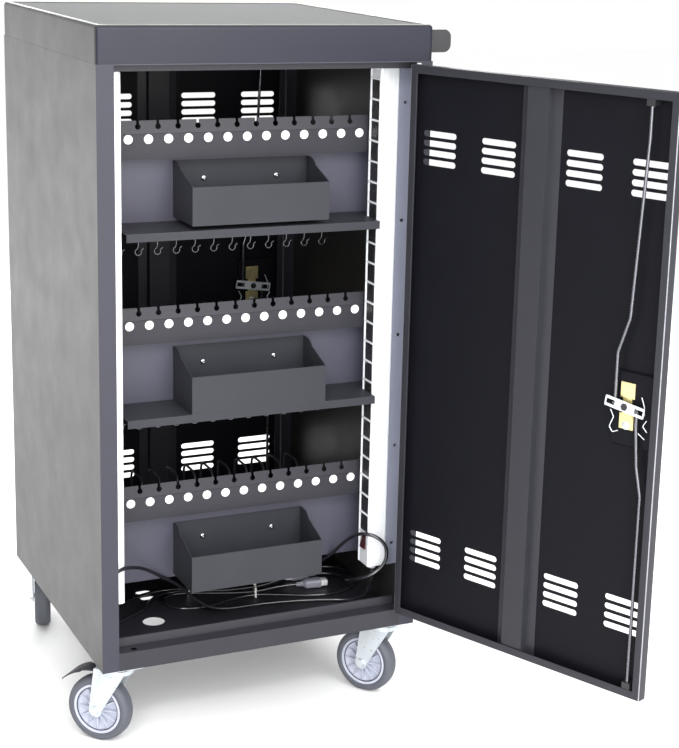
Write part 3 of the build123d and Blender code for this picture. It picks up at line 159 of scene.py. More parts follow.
def finish_of(name, colour, roughness, metallic=0.0, mottle=0.12, cloud=0.06, grain=0.0009,
              depth=0.00006, shine=0.5):
    material = bpy.data.materials.new(name)
    material.use_nodes = True
    tree = material.node_tree
    place = make(tree, "ShaderNodeTexCoord", {})["Object"]
    clouds = make(tree, "ShaderNodeTexNoise",
                  {"Vector": place, "Scale": 1 / cloud, "Detail": 5})["Fac"]
    tones = make(tree, "ShaderNodeMix", {
        "Factor": clouds,
        "A": [c * (1 - mottle) for c in colour] + [1],
        "B": [min(1, c * (1 + mottle)) for c in colour] + [1],
    }, data_type="RGBA")
    gloss = make(tree, "ShaderNodeMapRange", {
        "Value": clouds,
        "To Min": max(0.02, roughness - GLOSS_SPREAD),
        "To Max": min(1, roughness + GLOSS_SPREAD),
    })
    peel = make(tree, "ShaderNodeTexNoise",
                {"Vector": place, "Scale": 1 / grain, "Detail": 2})["Fac"]
    bump = make(tree, "ShaderNodeBump",
                {"Height": peel, "Distance": depth, "Strength": PEEL_STRENGTH})
    feed(tree, tree.nodes["Principled BSDF"], {
        "Base Color": tones["Result"],
        "Metallic": metallic,
        "Roughness": gloss["Result"],
        "Specular IOR Level": shine,
        "Normal": bump["Normal"],
    })
    return material


# %% [markdown]
# The cabinet's steel is one black powder paint, kept as several copies with light and shade
# painted in. Outside it is a brownish charcoal with a dull gloss. Inside it is cooler; the
# paler copy on the walls, rails and trays that catch the light is painted light, and the
# near black copy on the doors is painted shade. The bright parts are plated: zinc on the
# casters and rods, yellow chromate on the cam.

# %% Finishes
outer_paint = finish_of("outer paint", (0.036, 0.034, 0.033), 0.40, shine=0.45)
# Darker, bluer copies for the end faces and the posts: painted shade tinted by room light.
cap_shade_paint = finish_of("cap painted shade", (0.010, 0.011, 0.020), 0.42, shine=0.3)
front_shade_paint = finish_of("front painted shade", (0.030, 0.030, 0.042), 0.42, shine=0.3)
# A paler copy of the inside paint for the walls: painted light.
wall_light_paint = finish_of("wall painted light", (0.058, 0.057, 0.080), 0.42, shine=0.35)
inner_paint = finish_of("inner paint", (0.022, 0.022, 0.028), 0.42, shine=0.3)
# A near black copy for the doors' inside and the lock housings: painted shade.
door_shade_paint = finish_of("door painted shade", (0.005, 0.0052, 0.0075), 0.45, shine=0.10)
# A pale metallic copy for the rims' upright folds: painted highlight.
fold_highlight_paint = finish_of("painted highlight on folds", (0.30, 0.30, 0.33), 0.32, metallic=0.5, cloud=0.01, mottle=0.3)
# A slightly paler copy for the shelves and trays: painted light.
tray_light_paint = finish_of("tray painted light", (0.030, 0.031, 0.037), 0.45, shine=0.18)
mat_rubber = finish_of("mat rubber", (0.075, 0.082, 0.078), 0.75, grain=0.0035, depth=0.0009, mottle=0.3)
zinc = finish_of("zinc plate", (0.68, 0.72, 0.75), 0.34, metallic=0.35, cloud=0.012, mottle=0.05)
fork_zinc = finish_of("fork zinc", (0.50, 0.54, 0.57), 0.30, metallic=0.45, cloud=0.012, mottle=0.05)
screw_zinc = finish_of("screw zinc", (0.62, 0.63, 0.66), 0.22, metallic=1.0, cloud=0.004)
yellow_zinc = finish_of("yellow zinc", (0.83, 0.72, 0.36), 0.34, metallic=0.85, cloud=0.008, mottle=0.18)
steel_rod = finish_of("rod steel", (0.16, 0.16, 0.18), 0.28, metallic=0.9, cloud=0.02)
tyre_rubber = finish_of("tyre rubber", (0.070, 0.074, 0.090), 0.62, cloud=0.02, grain=0.0006)
hub_nylon = finish_of("hub nylon", (0.40, 0.42, 0.50), 0.40, cloud=0.015, grain=0.0006, mottle=0.08)
hub_shade = finish_of("hub shade", (0.030, 0.030, 0.045), 0.45, cloud=0.01)
white_rail = finish_of("white extrusion", (0.90, 0.92, 0.95), 0.32, metallic=0.1, cloud=0.05, mottle=0.04)
bracket_grey = finish_of("bracket grey", (0.34, 0.36, 0.46), 0.42, metallic=0.3, mottle=0.06)
black_plastic = finish_of("black plastic", (0.016, 0.016, 0.018), 0.38, cloud=0.01, grain=0.0005)
red_plastic = finish_of("red plastic", (0.060, 0.006, 0.010), 0.25, cloud=0.01, grain=0.0004)
disc_white = finish_of("disc white", (0.88, 0.88, 0.88), 0.45, cloud=0.004, mottle=0.05)
cord_jacket = finish_of("cord jacket", (0.014, 0.014, 0.018), 0.20, cloud=0.01, grain=0.0012, shine=0.9)
plug_grey = finish_of("plug grey", (0.30, 0.30, 0.36), 0.34, cloud=0.008)
plug_cap = finish_of("plug cap", (0.86, 0.86, 0.86), 0.30, cloud=0.006, mottle=0.05)
tie_white = finish_of("tie white", (0.86, 0.86, 0.84), 0.42, cloud=0.004, mottle=0.06)
ink = finish_of("ink", (0.10, 0.10, 0.11), 0.6, cloud=0.002)
print("finishes", len(bpy.data.materials))

# %% [markdown]
# Each CAD part takes its finish by a word in its name, and the last word that fits wins.
# Parts that a piece below stands for are painted too, so that the table is complete and
# a rounded copy of a part can ask for the part's own finish.

# %% Paint the parts
PAINT_BY_WORD = {
    "side_panel": outer_paint, "top_cap": outer_paint, "door": door_shade_paint, "post": front_shade_paint,
    "shelves": tray_light_paint, "stiffener": inner_paint, "cord_walls": wall_light_paint,
    "push_handle": black_plastic, "top_mat": mat_rubber, "number_discs": disc_white,
    "tray_screws": zinc, "adapter_trays": tray_light_paint, "strip_housings": white_rail,
    "strip_brackets": bracket_grey, "strip_sockets": black_plastic, "rocker": red_plastic,
    "hinge_pins": zinc, "lock_cams": yellow_zinc, "lock_handle": black_plastic,
    "lock_housing": door_shade_paint, "_rod": steel_rod, "rod_guides": black_plastic,
    "_fork": fork_zinc, "caster_plates": zinc, "_tyre": tyre_rubber, "_hub": hub_nylon,
    "_pedal": zinc, "front_left_brake": inner_paint, "supply_cord": cord_jacket,
    "supply_plugs": plug_grey, "cord_ties": tie_white,
}


def finish_for(name):
    found = [paint for word, paint in PAINT_BY_WORD.items() if word in name]
    return found[-1] if found else inner_paint


for name, part in nodes.items():
    part.data.materials.clear()
    part.data.materials.append(finish_for(name))
print("painted", len(nodes))

# %% [markdown]
# Two supply cords leave the glands of the power strips, lie folded on the floor sheet
# and spring up at their folds. A stiff cord is one smooth curve, so each is a NURBS
# spline through the same points as the CAD route, with a round bevel.

# %% Cords
CORD_RADIUS = 3.5
LEFT_ROUTE = [
    (45, 100, 86), (45, 100, 56), (50, 108, 26), (60, 130, 8), (68, 165, 5.3),
    (90, 202, 5.3), (143, 231, 5.3), (168, 258, 5.3), (188, 292, 5.3), (226, 307, 5.6),
    (268, 297, 6.6), (322, 274, 6.6), (386, 249, 14), (430, 233, 27), (468, 212, 52),
    (495, 187, 74), (512, 158, 98), (524, 134, 128), (536, 104, 156), (546, 76, 168),
    (566, 60, 164), (584, 56, 145), (588, 58, 118), (576, 60, 96), (552, 64, 82),
    (534, 86, 70), (534, 122, 56), (550, 165, 36), (568, 210, 18), (578, 240, 11),
    (572, 262, 10.8), (552, 276, 10.8), (532, 279, 10.8),
]
RIGHT_ROUTE = [
    (575, 100, 86), (575, 100, 56), (570, 108, 26), (552, 128, 9), (520, 150, 5.3),
    (470, 167, 5.3), (415, 180, 5.3), (360, 186, 5.3), (310, 184, 5.3), (268, 183, 14),
    (232, 181, 42), (202, 172, 76), (162, 150, 106), (121, 120, 139), (88, 88, 160),
    (52, 60, 172), (22, 54, 150), (14, 56, 110), (16, 66, 72), (24, 95, 38),
    (34, 135, 12), (38, 185, 5.3), (58, 232, 5.3), (98, 266, 5.3), (140, 296, 5.3),
    (184, 318, 5.3), (232, 320, 5.6), (272, 307, 6.6), (328, 285, 6.2), (391, 260.5, 6.6),
    (432, 284, 5.3), (480, 308, 6.6), (530, 326, 5.3), (574, 324, 5.3), (606, 298, 5.3),
    (612, 258, 5.3), (602, 218, 5.3), (572, 192, 5.3), (530, 180, 5.3), (486, 186, 5.3),
    (438, 210, 5.3), (383, 232, 6.6), (335, 230, 5.3), (290, 213, 5.3), (250, 210, 5.3),
    (216, 222, 5.3), (200, 250, 5.3), (205, 280, 5.3), (230, 296, 5.6), (262, 286, 6.6),
    (318, 264, 6.2), (385, 241.5, 6.6), (438, 244, 10.8), (474, 240, 10.8),
]


def cord_along(name, route):
    curve = bpy.data.curves.new(name, "CURVE")
    curve.dimensions = "3D"
    curve.resolution_u = 8
    curve.bevel_depth = CORD_RADIUS / 1000
    curve.bevel_resolution = 4
    spline = curve.splines.new("NURBS")
    spline.points.add(len(route) - 1)
    for point, place in zip(spline.points, route):
        point.co = (*at(*place), 1)
    spline.order_u = 3
    spline.use_endpoint_u = True
    curve.materials.append(cord_jacket)
    cord = add(name, curve)
    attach(cord, "cabinet")
    return cord


left_cord = cord_along("left_cord", LEFT_ROUTE)
right_cord = cord_along("right_cord", RIGHT_ROUTE)
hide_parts("supply_cord_left")
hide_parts("supply_cord_right")
print("cords", len(LEFT_ROUTE), len(RIGHT_ROUTE), "points")

# %% [markdown]
# Most pieces below are made as bare meshes first. One helper turns a mesh into a
# finished piece: it gets its finish, smooth shading with sharp folds, the body that it
# moves with, and the CAD parts that it stands for. It prints the piece's name and size.

# %% Piece helper


def piece(name, mesh, finish, body, *stands_for, crease=35):
    mesh.name = name
    mesh.materials.clear()
    mesh.materials.append(finish)
    mesh.polygons.foreach_set("use_smooth", [True] * len(mesh.polygons))
    mesh.set_sharp_from_angle(angle=radians(crease))
    thing = add(name, mesh)
    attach(thing, body)
    if stands_for:
        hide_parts(*stands_for)
    print(name, len(mesh.polygons), "faces")
    return thing


def mesh_from(build, place=Matrix.Identity(4), merge=0.000005):
    """What `build` draws in an empty form, with doubles merged unless merge is 0."""
    mesh = bpy.data.meshes.new("shape")
    form = bmesh.new()
    build(form)
    if merge:
        bmesh.ops.remove_doubles(form, verts=form.verts, dist=merge)
        bmesh.ops.recalc_face_normals(form, faces=form.faces)
    form.to_mesh(mesh)
    form.free()
    mesh.transform(place)
    return mesh


# %% [markdown]
# A folded sheet never has a knife edge: the punch rounds it and the paint builds up on
# it, and that thin round is what catches the light. So the sheet metal parts are copied
# from their solids, their loose triangles are merged, and every sharp edge gets a small
# bevel. The copy then stands for the solid.

# %% Rounded sheet metal
SOFT_EDGES = {
    "top_cap": 0.9, "side_panel_left": 0.55, "side_panel_right": 0.55, "base_pan": 0.5,
    "headers": 0.5, "device_shelves": 0.5, "cord_walls": 0.4, "adapter_trays": 0.5,
    "top_mat": 0.7, "power_strip_brackets": 0.4, "near_door_stiffener": 0.5,
    "far_door_stiffener": 0.5, "near_lock_housing": 0.4, "far_lock_housing": 0.4,
    "near_rod_guides": 0.9, "far_rod_guides": 0.9, "push_handle": 1.6, "rocker_left": 0.5,
    "rocker_right": 0.5, "caster_plates": 0.5,
}
for corner_name in ("front_left", "front_right", "rear_left", "rear_right"):
    SOFT_EDGES[corner_name + "_fork"] = 0.8
    SOFT_EDGES[corner_name + "_brake_pedal"] = 0.7
FOLD_ANGLE = 32
FACING = 0.7

# The two ends are painted darker and bluer than the sides: painted shade tinted by room light.
FRONT_SHADE_FINISHES = {"side_panel_left": front_shade_paint, "side_panel_right": front_shade_paint,
                  "top_cap": cap_shade_paint}


def softened(form, source, width, unwanted=None):
    """The faces of a CAD part, merged and rounded, without any unwanted corners."""
    form.from_mesh(source)
    bmesh.ops.remove_doubles(form, verts=form.verts, dist=0.00001)
    bmesh.ops.dissolve_limit(form, angle_limit=radians(1), verts=form.verts, edges=form.edges)
    if unwanted:
        outside = [v for v in form.verts if unwanted(v.co)]
        bmesh.ops.delete(form, geom=outside, context="VERTS")
    inner = [e for e in form.edges if len(e.link_faces) == 2]
    folds = [e for e in inner if e.calc_face_angle() > radians(FOLD_ANGLE)]
    bmesh.ops.bevel(form, geom=folds, offset=width / 1000, segments=2, profile=0.6,
                    affect="EDGES", clamp_overlap=True)


def two_tone_and_painted_light(part, finish, chosen):
    """A second finish for chosen faces: the doors' outside paint, painted shade, painted highlights."""
    part.data.materials.append(finish)
    for face in part.data.polygons:
        face.material_index = int(chosen(face))


for name, width in SOFT_EDGES.items():
    copy = mesh_from(lambda form: softened(form, nodes[name].data, width))
    body = nodes[name]["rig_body"]
    part = piece(name + "_rounded", copy, finish_for(name), body, name, crease=20)
    # The end faces get the painted shade.
    if name in FRONT_SHADE_FINISHES:
        two_tone_and_painted_light(part, FRONT_SHADE_FINISHES[name], lambda face: abs(face.normal.y) > FACING)

# %% [markdown]
# Much in the cart repeats on a straight grid: 39 wire hoops, 39 numbered discs, 46
# outlets. Geometry Nodes suit that, because one tree with a few named sizes serves them
# all. The tree copies its item along a line, and that line along a second one.

# %% Row tree


def new_tree(name, sizes):
    tree = bpy.data.node_groups.new(name, "GeometryNodeTree")
    tree.interface.new_socket("Item", in_out="INPUT", socket_type="NodeSocketGeometry")
    for label, kind in sizes.items():
        tree.interface.new_socket(label, in_out="INPUT", socket_type="NodeSocket" + kind)
    tree.interface.new_socket("Result", in_out="OUTPUT", socket_type="NodeSocketGeometry")
    return tree, tree.nodes.new("NodeGroupInput").outputs


def step(tree, kind, inputs, **settings):
    return make(tree, "GeometryNode" + kind, inputs, **settings)[0]


def end_tree(tree, shape, finish):
    real = step(tree, "RealizeInstances", {"Geometry": shape})
    painted = step(tree, "SetMaterial", {"Geometry": real, "Material": finish})
    tree.links.new(painted, tree.nodes.new("NodeGroupOutput").inputs[0])


ROW_SIZES = {"Count": "Int", "Step": "Vector", "Rows": "Int", "Row step": "Vector",
             "Finish": "Material"}


def rows_of(tree, sizes, item):
    line = step(tree, "MeshLine", {"Count": sizes["Count"], "Offset": sizes["Step"]})
    row = step(tree, "InstanceOnPoints", {"Points": line, "Instance": item})
    lines = step(tree, "MeshLine", {"Count": sizes["Rows"], "Offset": sizes["Row step"]})
    return step(tree, "InstanceOnPoints", {"Points": lines, "Instance": row})


row_tree, sizes = new_tree("rows", ROW_SIZES)
end_tree(row_tree, rows_of(row_tree, sizes, sizes["Item"]), sizes["Finish"])


def settled(thing):
    """The object's mesh with its modifiers applied. The object itself is taken away."""
    graph = bpy.context.evaluated_depsgraph_get()
    mesh = bpy.data.meshes.new_from_object(thing.evaluated_get(graph), depsgraph=graph)
    bpy.data.objects.remove(thing)
    return mesh


def grown(name, tree, item, place, sizes, finish, body, *stands_for, crease=35):
    """The piece that a tree grows from an item with these sizes, set in its place."""
    source = add("source", item)
    modifier = source.modifiers.new("grow", "NODES")
    modifier.node_group = tree
    sizes = {**sizes, "Finish": finish}
    for socket in tree.interface.items_tree:
        if socket.in_out == "INPUT" and socket.name in sizes:
            modifier[socket.identifier] = sizes[socket.name]
    mesh = settled(source)
    mesh.transform(place)
    return piece(name, mesh, finish, body, *stands_for, crease=crease)


print("row tree", len(row_tree.nodes), "nodes")

# %% [markdown]
# Round wire is a path with a circle swept along it. The wire tree takes the bare path,
# rounds its corners as a bending tool does, sweeps the circle, and repeats the result.

# %% Wire tree
wire_tree, sizes = new_tree("wires", {"Radius": "Float", "Bend": "Float", **ROW_SIZES})
path = step(wire_tree, "MeshToCurve", {"Mesh": sizes["Item"]})
bent = step(wire_tree, "FilletCurve",
            {"Curve": path, "Count": 5, "Radius": sizes["Bend"]}, mode="POLY")
ring = step(wire_tree, "CurvePrimitiveCircle", {"Resolution": 10, "Radius": sizes["Radius"]})
wire = step(wire_tree, "CurveToMesh", {"Curve": bent, "Profile Curve": ring, "Fill Caps": True})
end_tree(wire_tree, rows_of(wire_tree, sizes, wire), sizes["Finish"])


def path_mesh(points):
    mesh = bpy.data.meshes.new("path")
    mesh.from_pydata([mm(*p) for p in points], [(i, i + 1) for i in range(len(points) - 1)], [])
    return mesh


# %% [markdown]
# Behind each rail, 13 hoops stand on the shelf and keep the laptops apart. They are
# 5 mm wire bent to an upside-down U, one at every slot of all three tiers.

# %% Divider hoops
TIER_TOPS = (113, 449, 785)
TIER_STEP = 336
SLOTS = 13
FIRST_SLOT = 75.9
SLOT_STEP = 37
HOOP_FRONT = 352.5
HOOP_BACK = 422.5
HOOP_TOP = 120.5
hoop_path = path_mesh([(0, HOOP_FRONT, 0), (0, HOOP_FRONT, HOOP_TOP),
                       (0, HOOP_BACK, HOOP_TOP), (0, HOOP_BACK, 0)])
PER_TIER = {"Count": SLOTS, "Step": mm(SLOT_STEP, 0, 0), "Rows": 3,
            "Row step": mm(0, 0, TIER_STEP)}
grown("divider_hoops", wire_tree, hoop_path, moved_to(FIRST_SLOT, 0, TIER_TOPS[0]),
      {"Radius": 0.0025, "Bend": 0.018, **PER_TIER}, inner_paint, "cabinet", "divider_wires")

# %% [markdown]
# Under the two upper shelves hangs a row of open rings for the charging leads. Each is
# one bent wire: a stem, three quarters of a ring, and a short tail at its mouth.

# %% Lead rings
RING = 6.2
RING_Y = 251
RING_DROP = 72
ring_path = [(0, 0, -1.5), (0, 0, -RING_DROP + RING + 6)]
ring_path += [(RING * cos(radians(a)), 0, -RING_DROP + RING * sin(radians(a)))
              for a in range(105, 391, 15)]
ring_path += [(10.5, 0, -65.5)]
grown("lead_rings", wire_tree, path_mesh(ring_path), moved_to(FIRST_SLOT, RING_Y, TIER_TOPS[1]),
      {"Radius": 0.0012, "Bend": 0.002, **PER_TIER, "Rows": 2}, steel_rod, "cabinet")

# %% [markdown]
# The rings hang from a thin strip under each shelf. A strip is an outline joined to a
# second one, and so are a door's rim, a wheel's rib and a moulded plug further on. So
# one helper makes the faces between outlines, and it serves them all.

# %% Ring strips
# The two corners of a strip, and its height from the shelf's top.
STRIP_BOX = ((60, 242, -3), (536, 258, -1.5))


def rectangle(a0, b0, a1, b1):
    return ((a0, b0), (a1, b0), (a1, b1), (a0, b1))


def bridge(form, outlines, closed=False):
    """Faces from each outline to the next, then round to the first or over both ends."""
    rings = [[form.verts.new(spot) for spot in outline] for outline in outlines]
    for here, there in zip(rings, rings[1:] + (rings[:1] if closed else [])):
        for i in range(len(here)):
            k = (i + 1) % len(here)
            form.faces.new((here[i], here[k], there[k], there[i]))
    if not closed:
        form.faces.new(rings[0])
        form.faces.new(rings[-1])


def block_in(form, low, high):
    (x0, y0, z0), (x1, y1, z1) = low, high
    bridge(form, [[(x, y, z) for x, y in rectangle(x0, y0, x1, y1)] for z in (z0, z1)])


def ring_strips(form):
    for top in TIER_TOPS[1:]:
        block_in(form, *(at(x, y, top + z) for x, y, z in STRIP_BOX))


piece("ring_strips", mesh_from(ring_strips), inner_paint, "cabinet")

# %% [markdown]
# Each door is a pan of thin sheet with 32 slots punched through. A slot has round ends,
# which a solid with few faces can't show. The sheet tree draws the outline and every
# slot as flat curves, fills between them, and gives the sheet its thickness.

# %% Slotted sheet tree
SHEET_SIZES = {"Width": "Float", "Height": "Float", "Rise": "Vector", "Thickness": "Float",
               "Slot length": "Float", "Slot width": "Float", "Slot bend": "Float",
               "Slots": "Int", "Slot step": "Vector", "Slot start": "Vector", "Finish": "Material"}
sheet_tree, sizes = new_tree("slotted sheet", SHEET_SIZES)
outline = step(sheet_tree, "CurvePrimitiveQuadrilateral",
               {"Width": sizes["Width"], "Height": sizes["Height"]})
outline = step(sheet_tree, "Transform", {"Geometry": outline, "Translation": sizes["Rise"]})
slot = step(sheet_tree, "CurvePrimitiveQuadrilateral",
            {"Width": sizes["Slot length"], "Height": sizes["Slot width"]})
slot = step(sheet_tree, "FilletCurve",
            {"Curve": slot, "Count": 6, "Radius": sizes["Slot bend"]}, mode="POLY")
stack = step(sheet_tree, "MeshLine",
             {"Count": sizes["Slots"], "Start Location": sizes["Slot start"],
              "Offset": sizes["Slot step"]})
slots = step(sheet_tree, "InstanceOnPoints", {"Points": stack, "Instance": slot})
groups = step(sheet_tree, "InstanceOnPoints", {"Points": sizes["Item"], "Instance": slots})


def joined(tree, *shapes):
    """A Join Geometry takes many wires in one socket, so it isn't a plain step."""
    node = tree.nodes.new("GeometryNodeJoinGeometry")
    for shape in shapes:
        tree.links.new(shape, node.inputs[0])
    return node.outputs[0]


drawing = joined(sheet_tree, outline, groups)
flat = step(sheet_tree, "RealizeInstances", {"Geometry": drawing})
flat = step(sheet_tree, "FillCurve", {"Curve": flat})
raised = step(sheet_tree, "ExtrudeMesh",
              {"Mesh": flat, "Offset Scale": sizes["Thickness"], "Individual": False})
under = step(sheet_tree, "FlipFaces", {"Mesh": flat})
both = joined(sheet_tree, raised, under)
whole = step(sheet_tree, "MergeByDistance", {"Geometry": both, "Distance": 0.00001})
end_tree(sheet_tree, whole, sizes["Finish"])
print("sheet tree", len(sheet_tree.nodes), "nodes")

# %% [markdown]
# A door is described closed in the front doorway. One matrix then swings the near door
# open about its hinge, and another turns the far door to the other end of the cabinet.

# %% Door places
DOOR_LEFT = 33
DOOR_RIGHT = 587
DOOR_BOTTOM = 37
DOOR_TOP = 1078
DOOR_OPEN = 113.6
HINGE = at(590, -5.3, 0)
CENTRE = at(WIDTH / 2, DEPTH / 2, 0)


def swung(axis, angle):
    return Matrix.Translation(axis) @ spin(angle) @ Matrix.Translation(-axis)


DOOR_PLACES = {"near": swung(HINGE, radians(DOOR_OPEN)), "far": swung(CENTRE, pi)}
# An upright sheet: the drawing's X stays across, its Y stands up, its Z comes forward.
UPRIGHT = Matrix(((1, 0, 0, 0), (0, 0, -1, 0), (0, 1, 0, 0), (0, 0, 0, 1)))
print("doors", list(DOOR_PLACES))

# %% [markdown]
# The pan has two pieces: the slotted face from the tree, and the folded rim round it
# with its returned lip, a short outline led round the four sides. The rim's outer fold
# at the two upright edges gets a pale painted highlight.

# %% Door pans
DOOR_MIDDLE = (DOOR_LEFT + DOOR_RIGHT) / 2
FACE_SHEET = 1.2
ROD_TOP_X = 88
ROD_FOOT_X = 62
ROD_Y = 13.5
ROD_HOLE = 4
VENT_CENTRES = [mm(shift, z, 0) for z in (175, 932) for shift in (-221, -90, 90, 221)]
SLOTS_PER_VENT = 4
SLOT_PITCH = 17
HIGHLIGHT_FACING = (0.15, 0.98)
RIM_PROFILE = [
    (0.5, 0), (0, 0.5), (0, 18.6), (0.3, 19.4), (0.8, 19.8), (1.5, 20), (14.1, 20),
    (14.5, 19.6), (14.5, 19.0), (14.2, 18.8), (1.2, 18.8), (1.2, 0),
]


def rim(form):
    outlines = []
    for inset, depth in RIM_PROFILE:
        corners = rectangle(DOOR_LEFT + inset, DOOR_BOTTOM + inset,
                            DOOR_RIGHT - inset, DOOR_TOP - inset)
        outlines.append([at(x, depth, z) for x, z in corners])
    bridge(form, outlines, closed=True)


def rod_drill(form):
    """Two short upright cylinders where the lock's rods pass through the rim."""
    for x, z in ((ROD_TOP_X, DOOR_TOP), (ROD_FOOT_X, DOOR_BOTTOM)):
        bmesh.ops.create_cone(form, segments=28, radius1=ROD_HOLE / 1000, radius2=ROD_HOLE / 1000,
                              depth=0.008, cap_ends=True, matrix=moved_to(x, ROD_Y, z))


def drilled_rim(place):
    """The rim with its two holes cut, then moved to its place."""
    blank, tool = add("blank", mesh_from(rim)), add("drill", mesh_from(rod_drill))
    cut = blank.modifiers.new("cut", "BOOLEAN")
    cut.operation = "DIFFERENCE"
    cut.solver = "EXACT"
    cut.object = tool
    mesh = settled(blank)
    bpy.data.objects.remove(tool)
    mesh.transform(place)
    return mesh


def on_highlight_fold(closed, face):
    """Whether a face lies on a rim's rounded outer fold in the closed doorway, where the highlight is
    painted.
    """
    across = (closed @ face.center - at(DOOR_MIDDLE, 0, 0)).x * 1000
    return (HIGHLIGHT_FACING[0] < (closed.to_3x3() @ face.normal).y < HIGHLIGHT_FACING[1]
            and abs(across) > DOOR_MIDDLE - DOOR_LEFT - 2)


for door, place in DOOR_PLACES.items():
    centres = bpy.data.meshes.new("vent centres")
    centres.from_pydata(VENT_CENTRES, [], [])
    upright = place @ moved_to(DOOR_MIDDLE, FACE_SHEET, 0) @ UPRIGHT
    front = grown(door + "_door_face", sheet_tree, centres, upright, {
        "Width": (DOOR_RIGHT - DOOR_LEFT - 1) / 1000,
        "Height": (DOOR_TOP - DOOR_BOTTOM - 1) / 1000,
        "Rise": mm(0, (DOOR_TOP + DOOR_BOTTOM) / 2, 0),
        "Thickness": FACE_SHEET / 1000,
        "Slot length": 0.074,
        "Slot width": 0.011,
        "Slot bend": 0.0054,
        "Slots": SLOTS_PER_VENT,
        "Slot step": mm(0, SLOT_PITCH, 0),
        "Slot start": mm(0, -SLOT_PITCH * (SLOTS_PER_VENT - 1) / 2, 0),
    }, door_shade_paint, door + "_door", door + "_door_skin")
    edging = piece(door + "_door_rim", drilled_rim(place), inner_paint, door + "_door")
    closed = place.inverted()
    # The door's outer face takes the outside paint; the rest keeps the near black painted shade.
    two_tone_and_painted_light(front, outer_paint, lambda face: (closed.to_3x3() @ face.normal).y < -FACING)
    # The rim's upright folds get the painted highlight.
    two_tone_and_painted_light(edging, fold_highlight_paint, lambda face: on_highlight_fold(closed, face))

# %% [markdown]
# Each tier has a rail with 13 keyholes that hold the charging leads. A keyhole is open
# at the top, so the leaning part of the rail is a single outline that dips into every
# hole and comes back up. It is filled once, then given its thickness.

# %% Keyhole rails
RAIL_Y = 130.75
RAIL_SHEET = 1.5
RAIL_BEND = 163
RAIL_LEAN = 4
LEAN_RISE = 23.5
HOLE_DROP = 11
HOLE_RADIUS = 5
SLOT_HALF = 2.3
MOUTH_ANGLE = 28
EDGE_BEVEL = 0.35
INNER_LEFT = 1.5
INNER_RIGHT = 618.5


def keyhole_outline():
    slope = (LEAN_RISE**2 + RAIL_LEAN**2) ** 0.5
    outline = [(INNER_LEFT, 0), (INNER_RIGHT, 0), (INNER_RIGHT, slope)]
    for i in reversed(range(SLOTS)):
        x = FIRST_SLOT + SLOT_STEP * i
        outline += [(x + SLOT_HALF + 1, slope), (x + SLOT_HALF, slope - 1)]
        for k in range(13):
            a = radians(90 - MOUTH_ANGLE - k * (360 - 2 * MOUTH_ANGLE) / 12)
            outline.append((x + HOLE_RADIUS * cos(a), slope - HOLE_DROP + HOLE_RADIUS * sin(a)))
        outline += [(x - SLOT_HALF, slope - 1), (x - SLOT_HALF - 1, slope)]
    return outline + [(INNER_LEFT, slope)]


def flat_comb(form):
    """The leaning part, flat in the XY plane, with the edges of its two faces bevelled."""
    face = form.faces.new([form.verts.new((x, y, 0)) for x, y in keyhole_outline()])
    raised = bmesh.ops.extrude_face_region(form, geom=[face])
    lifted = [g for g in raised["geom"] if isinstance(g, bmesh.types.BMVert)]
    bmesh.ops.translate(form, verts=lifted, vec=(0, 0, RAIL_SHEET))
    corners = [e for e in form.edges if e.is_manifold and e.calc_face_angle() > radians(60)]
    corners = [e for e in corners if abs(e.verts[0].co.z - e.verts[1].co.z) < 0.01]
    bmesh.ops.bevel(form, geom=corners, offset=EDGE_BEVEL, segments=1, affect="EDGES",
                    clamp_overlap=True)
    bmesh.ops.triangulate(form, faces=form.faces)
    bmesh.ops.scale(form, verts=form.verts, vec=(0.001, 0.001, 0.001))


def bent_sheet(form, profile, x0, x1, half):
    """A sheet folded along the profile's points, with half its thickness on each side."""
    outer, inner = [], []
    for i, (y, z) in enumerate(profile):
        before = Vector(profile[max(i - 1, 0)])
        after = Vector(profile[min(i + 1, len(profile) - 1)])
        here = Vector((y, z))
        ways = (here - before, after - here)
        sides = [way.normalized() for way in ways if way.length > 0]
        normals = [Vector((-s.y, s.x)) for s in sides]
        miter = sum(normals, Vector((0, 0))).normalized()
        reach = half / max(0.3, miter.dot(normals[0]))
        outer.append(here + miter * reach)
        inner.append(here - miter * reach)
    ring = outer + inner[::-1]
    bridge(form, [[at(x, p.x, p.y) for p in ring] for x in (x0, x1)])


LEAN = spin(pi / 2 - RAIL_LEAN / LEAN_RISE, "X")


def rail_foot(form):
    for top in TIER_TOPS:
        profile = [(140.75, 118.75), (132.75, 118.75), (RAIL_Y, 131), (RAIL_Y, RAIL_BEND)]
        bent_sheet(form, [(y, top + z) for y, z in profile], INNER_LEFT, INNER_RIGHT, RAIL_SHEET / 2)


for tier, top in enumerate(TIER_TOPS):
    place = moved_to(0, RAIL_Y + RAIL_SHEET / 2, top + RAIL_BEND) @ LEAN
    stands_for = ["cord_rails"] if tier == 0 else []
    piece(f"keyhole_comb_{tier + 1}", mesh_from(flat_comb, place), inner_paint, "cabinet",
          *stands_for, crease=20)
piece("rail_feet", mesh_from(rail_foot), inner_paint, "cabinet", crease=20)

# %% [markdown]
# A lathe turns a profile about an axis: discs, screws, tyres, hubs and cord reliefs are
# all turned. The profile is a list of radius and height, and a closed one makes a ring.

# %% Lathe


